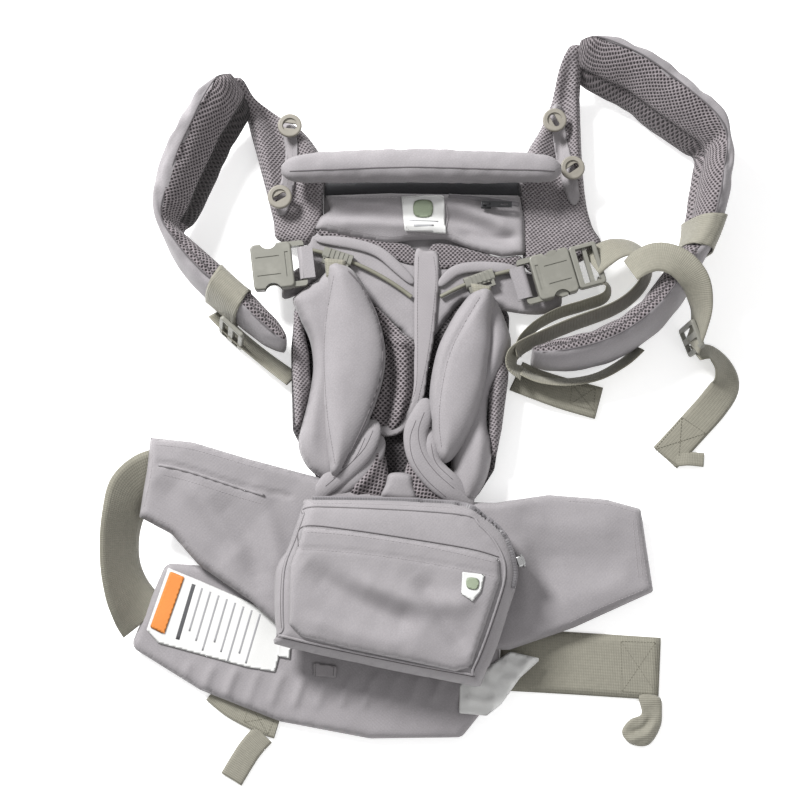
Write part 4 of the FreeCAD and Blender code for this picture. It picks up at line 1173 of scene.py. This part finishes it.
def seat_mesh():
    """Loose spacer mesh that hangs between the leg pads, with the gussets outside them."""
    centre = [(-54, 98), (-35, 82), (-17, 63), (-6, 56), (-4, 39), (-5, 12), (-12, -8), (-24, -24),
              (-40, -28), (-48, -22), (-44, 0), (-37, 16), (-33, 42), (-36, 65), (-43, 88)]
    folds = [([(-20, 76), (-17, 30), (-20, -6), (-30, -22)], 8, 8),
             ([(-34, 60), (-29, 20), (-34, -20)], 4, -4), ([(-8, 50), (-9, 10), (-18, -14)], 4, -4),
             ([(-40, 76), (-28, 64), (-14, 56)], 4, -4), ([(-38, 68), (-26, 56), (-12, 50)], 3, 3)]
    made = quilt("centre_mesh", drawn(centre, 4), 11.2, 17, 6, "carrier", AIR_MESH, step=2.0,
                 folds=folds, waves=[(1.4, 16, 71, 80, 2)])
    feet = {
        "left_mesh_foot": [(-63, -41), (-46, -30), (-36, -34), (-31, -50), (-30, -68), (-38, -82),
                           (-65, -82), (-83, -80)],
        "right_mesh_foot": [(-16, -58), (-9, -47), (5, -63), (27, -86), (5, -87), (-14, -80)],
    }
    for i, (name, outline) in enumerate(feet.items()):
        made = quilt(name, drawn(outline, 4, 2), 12, 24, 7, "carrier", AIR_MESH, step=1.8,
                     folds=[([(-60, -76), (-44, -58), (-38, -36)], 5, 5),
                            ([(-4, -56), (8, -74), (22, -84)], 5, 5)], waves=[(2.0, 14, 75 + i, 40, 1.6)],
                     uv_turn=35)
    made = quilt("centre_loop",
                 drawn([(-35, -80), (-32, -68), (-28, -59), (-11, -60), (-8, -70), (-7, -83)], 4, 1.5), 14,
                 27, 6, "carrier", LAVENDER, step=1.5, waves=[(0.8, 12, 78, 90, 2)])
    left, right = footprints("mesh_gussets")
    for name, outline, bulge in (("left_gusset", left, [(-112, 80), (-110, 40), (-106, -10)]),
                                 ("right_gusset", right, [(62, 40), (60, 0), (56, -40)])):
        made = quilt(name, outline, 14, 26, 10, "carrier", SOFT_MESH, step=1.8, uv_turn=10,
                     folds=[(bulge, 6, 4)])
        if name == "left_gusset":
            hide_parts("mesh_gussets")


def leg_pads():
    """Each pad is a flat outer panel with a stuffed lens on it and a stitched seam on the lens; a dark cord
    along the left lens's right rim is painted shade.
    """
    left_flat = [(-79, 119), (-91, 109), (-107, 97), (-112, 90), (-106, 74), (-97, 55), (-94, 32), (-97, 9),
                 (-103, -17), (-106, -36), (-98, -54), (-84, -64), (-72, -62), (-66, -30), (-62, 20),
                 (-60, 80), (-66, 118)]
    left_lens = [(-81, 119), (-66, 119), (-54, 107), (-43, 85), (-35, 62), (-32, 38), (-36, 12), (-47, -20),
                 (-58, -42), (-69, -60), (-77, -64), (-82, -40), (-85, -8), (-86, 30), (-86, 62), (-82, 90)]
    right_flat = [(52, 99), (63, 90), (71, 71), (75, 52), (67, 29), (57, 10), (54, -16), (58, -35), (54, -61),
                  (43, -81), (34, -84), (24, -62), (26, -20), (38, 20), (44, 60)]
    right_lens = [(56, 99), (43, 96), (32, 84), (21, 66), (11, 43), (5, 10), (6, -18), (9, -40), (17, -52),
                  (28, -44), (41, -21), (51, 8), (56, 37), (58, 53), (58, 69), (60, 88)]
    made = quilt("left_leg_flat", drawn(left_flat, 5), 17, 33, 14, "left_leg_pad", LAVENDER,
                 step=2.4, rim=0.2, folds=[([(-100, 84), (-92, 40), (-94, -10), (-92, -50)], 7, 3)],
                 waves=[(1.2, 26, 41, 90, 2.5)])
    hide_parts("left_leg_pad_cover", "left_leg_pad_foam")
    made = quilt("left_leg_lens", drawn(left_lens, 5), 19, 43, 19, "left_leg_pad", LAVENDER,
                 step=2.4, rim=0.42, waves=[(1.6, 30, 42, 90, 2.5)],
                 seams=[([(-76, 112), (-82, 82), (-85, 60), (-85, 34), (-84, 8), (-81, -18), (-75, -56)],
                         2.0, 2)])
    inflate(made, pressure=1.6, frames=12, cap=3.0)
    tree = surface_of(made)
    # Dark cord along the lens's right rim: painted shade
    piping("left_lens_rim_shade", tree,
           [(-64, 112), (-52, 98), (-41, 78), (-36, 58), (-34.5, 38), (-38, 14), (-48, -14), (-58, -36),
            (-68, -56)], "left_leg_pad", 1.0, 0.0, SHADE_LINES_AND_DARK_STITCHES)
    stitched("left_leg_seam", tree, [(-76, 108), (-81, 82), (-83.5, 58), (-84, 34), (-82.5, 8), (-80, -18),
                                     (-74, -54)], "left_leg_pad", 0.05, 2.6, SHADE_LINES_AND_DARK_STITCHES)
    made = quilt("right_leg_flat", drawn(right_flat, 5), 15, 31, 14, "right_leg_pad", LAVENDER,
                 step=2.4, rim=0.2, folds=[([(64, 70), (60, 20), (50, -30), (44, -66)], 6, 3)],
                 waves=[(1.2, 26, 43, 80, 2.5)])
    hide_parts("right_leg_pad_cover", "right_leg_pad_foam")
    made = quilt("right_leg_lens", drawn(right_lens, 5), 19, 44, 18, "right_leg_pad", LAVENDER,
                 step=2.4, rim=0.42, waves=[(1.6, 30, 44, 90, 2.5)],
                 seams=[([(50, 91), (34, 65), (21, 39), (14, 7), (12, -19), (14, -40)], 2.0, 2.5)])
    inflate(made, pressure=1.6, frames=12, cap=3.0)
    tree = surface_of(made)
    stitched("right_leg_seam", tree, [(48, 89), (34, 65), (22, 39), (15, 7), (13, -19), (15, -40)],
             "right_leg_pad", 0.05, 2.6, SHADE_LINES_AND_DARK_STITCHES)
    for name, body, outline in (
            ("left_slider_tab", "left_leg_pad", [(-85, 126), (-66, 124), (-67, 108), (-83, 108)]),
            ("right_slider_tab", "right_leg_pad", [(40, 104), (58, 101), (58, 90), (44, 88)])):
        quilt(name, cut(outline, 1.5), 25, 33, 3, body, WEBBING, step=1.5,
              waves=[(0.8, 8, 47, 0, 2)])
    bindings = {
        "left_binding_upper": ([(-42, -14, 25), (-45, -27, 30), (-52, -42, 31), (-64, -55, 29),
                                (-78, -67, 27), (-92, -82, 22)], 0.0095),
        "left_binding_lower": ([(-38, -26, 21), (-41, -40, 25), (-50, -54, 26), (-65, -67, 25),
                                (-84, -80, 20)], 0.0085),
        "right_binding_upper": ([(3, 4, 27), (-2, -12, 32), (-7, -28, 33), (-4, -46, 33), (7, -62, 31),
                                 (23, -76, 28), (42, -88, 22)], 0.0100),
        "right_binding_lower": ([(8, -22, 28), (4, -38, 32), (8, -54, 31), (22, -68, 29), (42, -84, 22)],
                                0.0085),
    }
    for name, (route, radius) in bindings.items():
        line = smooth_line(np.array(route) * MM, 8)
        made = tube(name, line, radius, "carrier", LAVENDER, 20, flat=0.42, taper=0.3)
        tree = surface_of(made)
        # Two thin dark cords sunk into each binding: painted shade in its creases.
        for lane, offset in enumerate((-0.45, 0.25)):
            rows = [(x + offset * radius / MM, y + offset * radius / MM) for x, y, _ in route[1:-1]]
            piping("%s_crease_%d" % (name, lane), tree, rows, "carrier", 0.32, -0.05, SHADE_LINES_AND_DARK_STITCHES)


PILLOW_DEPTH = 0.0142    # half of the roll's section, in metres
PILLOW_HEIGHT = 0.0128
PILLOW_SEAM = 3.75       # radians round the section, low on the front


def head_pillow():
    """Long stuffed roll with square sewn ends and a seam low on its front."""
    low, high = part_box("head_pillow_cover")
    middle = (low + high) / 2
    half = (high.x - low.x) / 2
    n, count = 48, 96
    verts, uvs, faces = [], [], []
    for i in range(count):
        t = -1 + 2 * i / (count - 1)
        x = middle.x + half * math.copysign(abs(t) ** 0.8, t)
        share = abs(x - middle.x) / half
        size = max(0.10, 1 - share ** 16) ** 0.5 * (1.0 - 0.2 * share * share)
        for k in range(n):
            a = 2 * math.pi * k / n
            c, s = math.cos(a), math.sin(a)
            square = (abs(c) ** 2.5 + abs(s) ** 2.5) ** (-1 / 2.5)
            pucker = noise.noise(Vector((x / 0.010, c * 1.2, s * 1.2)))
            broad = noise.noise(Vector((x / 0.045, c, s + 5)))
            seam = math.exp(-((a - PILLOW_SEAM) / 0.09) ** 2)
            grow = (1 + 0.05 * pucker + 0.08 * broad - 0.10 * seam) * square * size
            bow = 0.0025 * (1 - (t * 1.1) ** 2)
            verts.append((x, middle.y + c * PILLOW_DEPTH * grow + bow,
                          middle.z - 0.002 + s * PILLOW_HEIGHT * grow))
            uvs.append((a * 0.015, x))
    for i in range(count - 1):
        for k in range(n):
            m = (k + 1) % n
            faces.append((i * n + k, i * n + m, (i + 1) * n + m, (i + 1) * n + k))
    faces.append(tuple(reversed(range(n))))
    faces.append(tuple((count - 1) * n + k for k in range(n)))
    made = finish_piece("head_pillow_roll", verts, faces, [LAVENDER], "head_pillow", uvs)
    outward(made)
    inflate(made, pressure=3.0, frames=14, cap=3.0)
    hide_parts("head_pillow_cover", "head_pillow_foam")
    tree = surface_of(made)
    # Dark cord along the seam: painted shade in the seam's groove.
    piping("head_pillow_seam_shade", tree, [(-114, 197), (-98, 197), (-16, 199), (48, 198), (112, 197)],
           "head_pillow", 0.6, 0.0, SHADE_LINES_AND_DARK_STITCHES)


# ---- pouch ---------------------------------------------------------------------------------------
def pouch():
    """Zipped pouch with a patch pocket on its front and a zip along its right side."""
    base = [(-101, -88), (-90, -82), (28, -86), (50, -96), (70, -115), (78, -142), (72, -172), (49, -232),
            (27, -235), (-113, -206), (-122, -194), (-124, -145), (-114, -123), (-106, -101)]
    folds = [([(-98, -140), (-70, -160), (-36, -178), (0, -190)], 10, -6),
             ([(-62, -148), (-20, -166), (20, -172), (46, -168)], 9, 5),
             ([(-104, -182), (-60, -196), (10, -214)], 8, 3.5),
             ([(-8, -150), (14, -178), (36, -212)], 9, -5)]
    body = quilt("pouch_body", drawn(base, 4), 26.6, 55, 15, "carrier", LAVENDER, step=2.4,
                 rim=0.25, folds=folds, waves=[(2.2, 60, 51, -30, 2.4), (0.35, 12, 52, 60, 2)])
    inflate(body, pressure=2.0, frames=12, cap=4.0)
    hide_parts("pouch_shell")
    tree = surface_of(body)
    front = [(-104, -124), (-100, -108), (-60, -112), (0, -121), (40, -128), (61, -134), (62, -152),
             (38, -222), (26, -226), (-60, -208), (-100, -198), (-110, -188), (-110, -140)]

    def heights(xy):
        return rest_on(tree, xy, 0.0004, 0.03)[:, 2]

    patch = quilt("pouch_front_pocket_cloth", cut(front, 2.4), 0.0, 4.2, 4, "carrier", LAVENDER,
                  step=2.2, rim=0.2, lift=heights, waves=[(0.3, 14, 55, 60, 2)],
                  seams=[([(-106, -126), (-60, -129), (0, -137), (61, -148)], 1.4, 0.9)])
    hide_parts("pouch_front_pocket")
    over = surface_of(body, patch)
    stitched("pouch_hem_stitches_upper", over, [(-99, -113), (-60, -116), (0, -125), (58, -138)], "carrier")
    stitched("pouch_hem_stitches_lower", over, [(-105, -127), (-60, -130), (0, -138), (60, -150)], "carrier")
    outline = [(-99, -97), (-88, -91), (26, -97), (46, -107), (60, -124), (66, -144), (60, -170), (40, -222),
               (26, -226), (-108, -199), (-115, -190), (-115, -145), (-106, -118), (-99, -97)]
    piping("pouch_front_piping", over, outline, "carrier", 1.1, 0.3, LAVENDER)
    shade = [(x * 1.015 + 0.4, y * 1.008 + 0.2) for x, y in outline]
    piping("pouch_front_shade", over, shade, "carrier", 0.45, 0.1, SHADE_LINES_AND_DARK_STITCHES)
    # Dark cord along the pocket's opening: painted shade in the slit.
    piping("pouch_pocket_slit_shade", over,
           [(-103, -124.5), (-100, -108), (-60, -111), (0, -120), (40, -127), (61, -133)], "carrier", 0.5,
           0.15, SHADE_LINES_AND_DARK_STITCHES)
    stitched("pouch_top_stitches", tree, [(-92, -88), (-40, -89), (24, -92)], "carrier")
    label = drape("pouch_label", [(31, -146), (49, -148), (46, -162), (39, -170), (30, -164)], over, 0.5,
                  "carrier", PAPER, 0.5, 1.2, smooth=False)
    drape("pouch_label_mark", [(35, -151), (44, -152), (43, -160), (35, -159)], over, 0.25, "carrier",
          SAGE_INK, 1.0, 1.2)
    route = [(-92, -84), (-40, -84.5), (26, -88), (48, -98), (66, -115), (74, -141), (72, -158)]
    line = curve_on(tree, route, 0.4)
    tape = tube("pouch_zip_tape", line, 0.0030, "carrier", ZIP_TAPE, 8, flat=0.45)
    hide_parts("zip_chains")
    zip_teeth("pouch_zip_teeth", curve_on(tree, route, 1.5, step=1.0))


def zip_teeth(name, line):
    """Coil zip: small blocks one after another along the line."""
    marks = resampled(line, 0.0022)
    verts, faces = [], []
    for i in range(len(marks) - 1):
        ahead = marks[i + 1] - marks[i]
        ahead /= max(np.linalg.norm(ahead), 1e-9)
        side = np.cross(ahead, (0, 0, 1.0))
        base = len(verts)
        for z in (-0.0004, 0.0005):
            for u, v in ((-0.0006, -0.0016), (0.0006, -0.0016), (0.0006, 0.0016), (-0.0006, 0.0016)):
                verts.append(marks[i] + ahead * u + side * v + np.array((0, 0, z)))
        for face in ((0, 3, 2, 1), (4, 5, 6, 7), (0, 1, 5, 4), (1, 2, 6, 5), (2, 3, 7, 6), (3, 0, 4, 7)):
            faces.append(tuple(base + q for q in face))
    made = finish_piece(name, verts, faces, [ZIP_TEETH], "carrier", smooth=False)
    outward(made)


# ---- webbing -------------------------------------------------------------------------------------
def cross_box(name, corners, height, body):
    """Box of stitches with a cross in it, on flat webbing."""
    a, b, c, d = [np.array((x, y, height)) * MM for x, y in corners]
    for i, (p, q) in enumerate(((a, b), (b, c), (c, d), (d, a), (a, c), (b, d))):
        stitches("%s_%d" % (name, i), np.array([p, q]), body, SHADE_THREAD, 2.6, 1.7, 0.5, 0.2)


WAIST_WIDTH = 52
LOOP_WIDTH = 46
ADJUSTER_WIDTH = 28
CHEST_WIDTH = 25
NARROW_WIDTH = 20
WEBBING_THICK = 1.8
THIN = 1.6
FOLDED_THICK = 2.6


def waist_webbing():
    """Free loop on the left, flat strap on the right, and the elastic that keeps their ends."""
    made = ribbon("left_waist_loop",
                  [(-220, -60, 20, 12), (-233, -65, 25, 24), (-245, -76, 29, 38), (-251, -94, 30, 50),
                   (-254, -115, 28, 54), (-253, -138, 25, 52), (-248, -158, 19, 42), (-241, -172, 12, 26),
                   (-234, -182, 7, 12)], LOOP_WIDTH, WEBBING_THICK, None, WEBBING)
    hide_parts("left_waist_webbing")
    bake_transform(made)
    made = ribbon("right_waist_strap", [(64, -214, 1.4, 0), (120, -217, 1.4, 0), (198, -222, 1.4, 0)],
                  WAIST_WIDTH, WEBBING_THICK, "carrier", WEBBING)
    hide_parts("right_waist_webbing")
    cross_box("right_strap_box", [(166, -199), (195, -200), (195, -243), (166, -241)], 2.4, "carrier")
    ribbon("waist_strap_end",
           [(-176, -240, 1.4, 0), (-158, -254, 1.4, 0), (-134, -266, 1.4, 0), (-122, -270, 1.4, 0)],
           NARROW_WIDTH, WEBBING_THICK, "carrier", WEBBING)
    cross_box("left_strap_box", [(-146, -250), (-124, -262), (-130, -276), (-150, -266)], 2.5, "carrier")
    ribbon("left_elastic_tab", [(-134, -276, 1.4, 0), (-146, -290, 1.4, 0), (-160, -313, 1.4, 0)],
           NARROW_WIDTH, THIN, "carrier", ELASTIC)
    knot = [(180, -244), (197, -245), (199, -258), (197, -271), (187, -285), (172, -284), (165, -274),
            (172, -264), (182, -259)]
    made = quilt("right_elastic_loop", drawn(knot, 4, 1.5), 0.2, 4.5, 4, "carrier", ELASTIC,
                 step=1.5, folds=[([(172, -275), (183, -271), (190, -262)], 2.5, -2.5),
                                  ([(170, -281), (185, -277), (194, -264)], 3, 2)],
                 waves=[(1.2, 9, 81, 30, 2)])
    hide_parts("webbing_keepers")


def adjuster_webbing():
    """Webbing that lies along the right strap in two runs, with its folded end."""
    upper = [(144, 122, 25, 24), (154, 129, 27, 30), (166, 135, 27, 38), (180, 136, 25, 52),
             (192, 128, 23, 64), (192, 112, 21, 70), (181, 96, 20, 74), (162, 83, 19, 76),
             (128, 70, 19, 76), (100, 58, 19, 76), (84, 50, 18, 74), (76, 42, 18, 70), (76, 33, 17, 64),
             (84, 28, 15, 54)]
    made = ribbon("adjuster_webbing_upper", upper, ADJUSTER_WIDTH, WEBBING_THICK, "carrier",
                  WEBBING)
    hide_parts("adjuster_webbing")
    lower = [(150, 110, 19, 66), (159, 104, 18, 72), (156, 94, 17, 76), (138, 87, 17, 78), (116, 80, 17, 78),
             (98, 70, 17, 78), (86, 59, 17, 78), (81, 50, 17, 78), (82, 42, 16, 76)]
    # painted shade: the lower run uses the darker webbing
    ribbon("adjuster_webbing_lower", lower, 24, THIN, "carrier", DARK_WEBBING)
    ribbon("strap_edge_webbing",
           [(84, 30, 14, 60), (100, 23, 13, 62), (124, 21, 12, 62), (150, 26, 12, 62), (172, 38, 13, 62),
            (186, 50, 14, 64)], NARROW_WIDTH, THIN, "carrier", WEBBING)
    ribbon("adjuster_folded_end", [(80, 28, 3, 6), (98, 20, 5, 12), (122, 12, 4, 4), (151, 4, 3, -4)],
           ADJUSTER_WIDTH, FOLDED_THICK, "carrier", WEBBING)
    cross_box("folded_end_box", [(128, 20), (148, 17), (146, -2), (126, 3)], 5.4, "carrier")


def chest_webbing():
    """Band over the right strap and its stitched tail, and the webbing below the left strap's lock."""
    made = ribbon("chest_webbing_band",
                  [(174, 108, 56, 34), (184, 115, 60, 16), (198, 118, 64, 2), (214, 112, 66, -10),
                   (227, 98, 62, -28), (233, 80, 50, -50), (233, 64, 36, -64), (230, 50, 22, -62)],
                  CHEST_WIDTH, WEBBING_THICK, "carrier", WEBBING)
    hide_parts("chest_webbing")
    ribbon("chest_webbing_tail",
           [(233, 46, 14, 50), (246, 47, 12, 52), (257, 36, 9, 44), (260, 20, 5, 24), (250, 4, 2.6, 8),
            (234, -14, 1.4, 0), (207, -43, 1.4, 0)], 27, WEBBING_THICK, "carrier", WEBBING)
    cross_box("chest_tail_box", [(222, -8), (242, -22), (218, -50), (198, -36)], 2.6, "carrier")
    ribbon("chest_webbing_tip", [(214, -45, 1.2, 0), (226, -44, 2.4, 8), (240, -45, 1.4, 0)], 12, THIN,
           "carrier", WEBBING)
    made = ribbon("left_lower_webbing",
                  [(-180, 82, 8, 50), (-160, 62, 8, 48), (-136, 42, 8, 46), (-112, 24, 8, 40)],
                  NARROW_WIDTH, WEBBING_THICK, "carrier", WEBBING)
    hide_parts("left_strap_webbing")


def buckle_loops():
    """Cloth loops that hold the buckles' bars."""
    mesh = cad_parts["buckle_loops"].data.copy()
    mesh.name = "buckle_cloth_loops"
    bm = bmesh.new()
    bm.from_mesh(mesh)
    bmesh.ops.remove_doubles(bm, verts=bm.verts, dist=1e-6)
    bm.to_mesh(mesh)
    bm.free()
    mesh.materials.clear()
    mesh.materials.append(LAVENDER)
    made = bpy.data.objects.new("buckle_cloth_loops", mesh)
    scene.collection.objects.link(made)
    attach(made, "carrier")
    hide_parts("buckle_loops")


def hardware():
    """Better materials for the moulded and metal pieces."""
    finishes = {
        PLASTIC: ["right_buckle_receiver", "right_buckle_insert", "right_buckle_prong_upper",
                  "right_buckle_prong_lower", "left_buckle_receiver", "left_seat_slider", "right_seat_slider",
                  "strap_locks"],
        BUTTON: ["left_upper_button", "left_lower_button", "right_upper_button", "right_lower_button"],
        STEEL: ["pouch_zip_slider", "pouch_zip_pull"],
        BLACK_METAL: ["hood_zip_slider", "hood_zip_pull"],
        CORD: ["seat_rails"],
    }
    for material, names in finishes.items():
        for name in names:
            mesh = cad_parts[name].data
            if not mesh.materials:
                mesh.materials.append(material)
            for i in range(len(mesh.materials)):
                mesh.materials[i] = material


# ---- table, light and camera ---------------------------------------------------------------------
def table_and_light():
    """White table top, soft light from the upper left, and a pale surround."""
    bpy.ops.mesh.primitive_plane_add(size=12, location=(0, 0, -0.0004))
    floor = bpy.context.object
    floor.name = "table_top"
    material, _, shader = start_material("white_table", 0.8)
    shader.inputs["Base Color"].default_value = (0.90, 0.90, 0.90, 1)
    shader.inputs["Emission Color"].default_value = (1.0, 1.0, 1.0, 1)
    shader.inputs["Emission Strength"].default_value = 0.45
    floor.data.materials.append(material)
    floor.select_set(False)

    def area(name, place, size, power, aim=(0, 0, 0)):
        light = bpy.data.lights.new(name, "AREA")
        light.shape = "DISK"
        light.size = size
        light.energy = power
        lamp = bpy.data.objects.new(name, light)
        scene.collection.objects.link(lamp)
        lamp.location = place
        lamp.rotation_euler = (Vector(aim) - Vector(place)).to_track_quat("-Z", "Y").to_euler()

    area("window_light", (-1.2, 1.3, 1.45), 0.6, 95)
    area("fill_light", (1.4, -1.2, 2.0), 1.4, 10)
    world = bpy.data.worlds.new("studio")
    scene.world = world
    world.use_nodes = True
    world.node_tree.nodes["Background"].inputs[0].default_value = (1, 1, 1, 1)
    world.node_tree.nodes["Background"].inputs[1].default_value = 0.56


def camera():
    """Camera above the belt, tilted back from straight down."""
    lens = bpy.data.cameras.new("camera")
    eye = bpy.data.objects.new("camera", lens)
    scene.collection.objects.link(eye)
    target = Vector((-0.0161, 0.0, 0.020))
    elevation = math.radians(80)
    distance = 1.6
    sensor = 36
    view_width = 0.68765
    back = Vector((0, -math.cos(elevation), math.sin(elevation)))
    eye.location = target + back * distance
    eye.rotation_euler = (math.pi / 2 - elevation, 0, 0)
    lens.sensor_width = sensor
    lens.lens = sensor * distance / view_width
    lens.clip_start = 0.05
    scene.camera = eye


camera()
shoulder_straps()
strap_bases()
waist_belt()
lumbar_pad()
body_panels()
hood_pocket()
spine_and_welts()
seat_mesh()
leg_pads()
head_pillow()
pouch()
waist_webbing()
adjuster_webbing()
chest_webbing()
buckle_loops()
hardware()
table_and_light()
scene.view_settings.view_transform = "Standard"
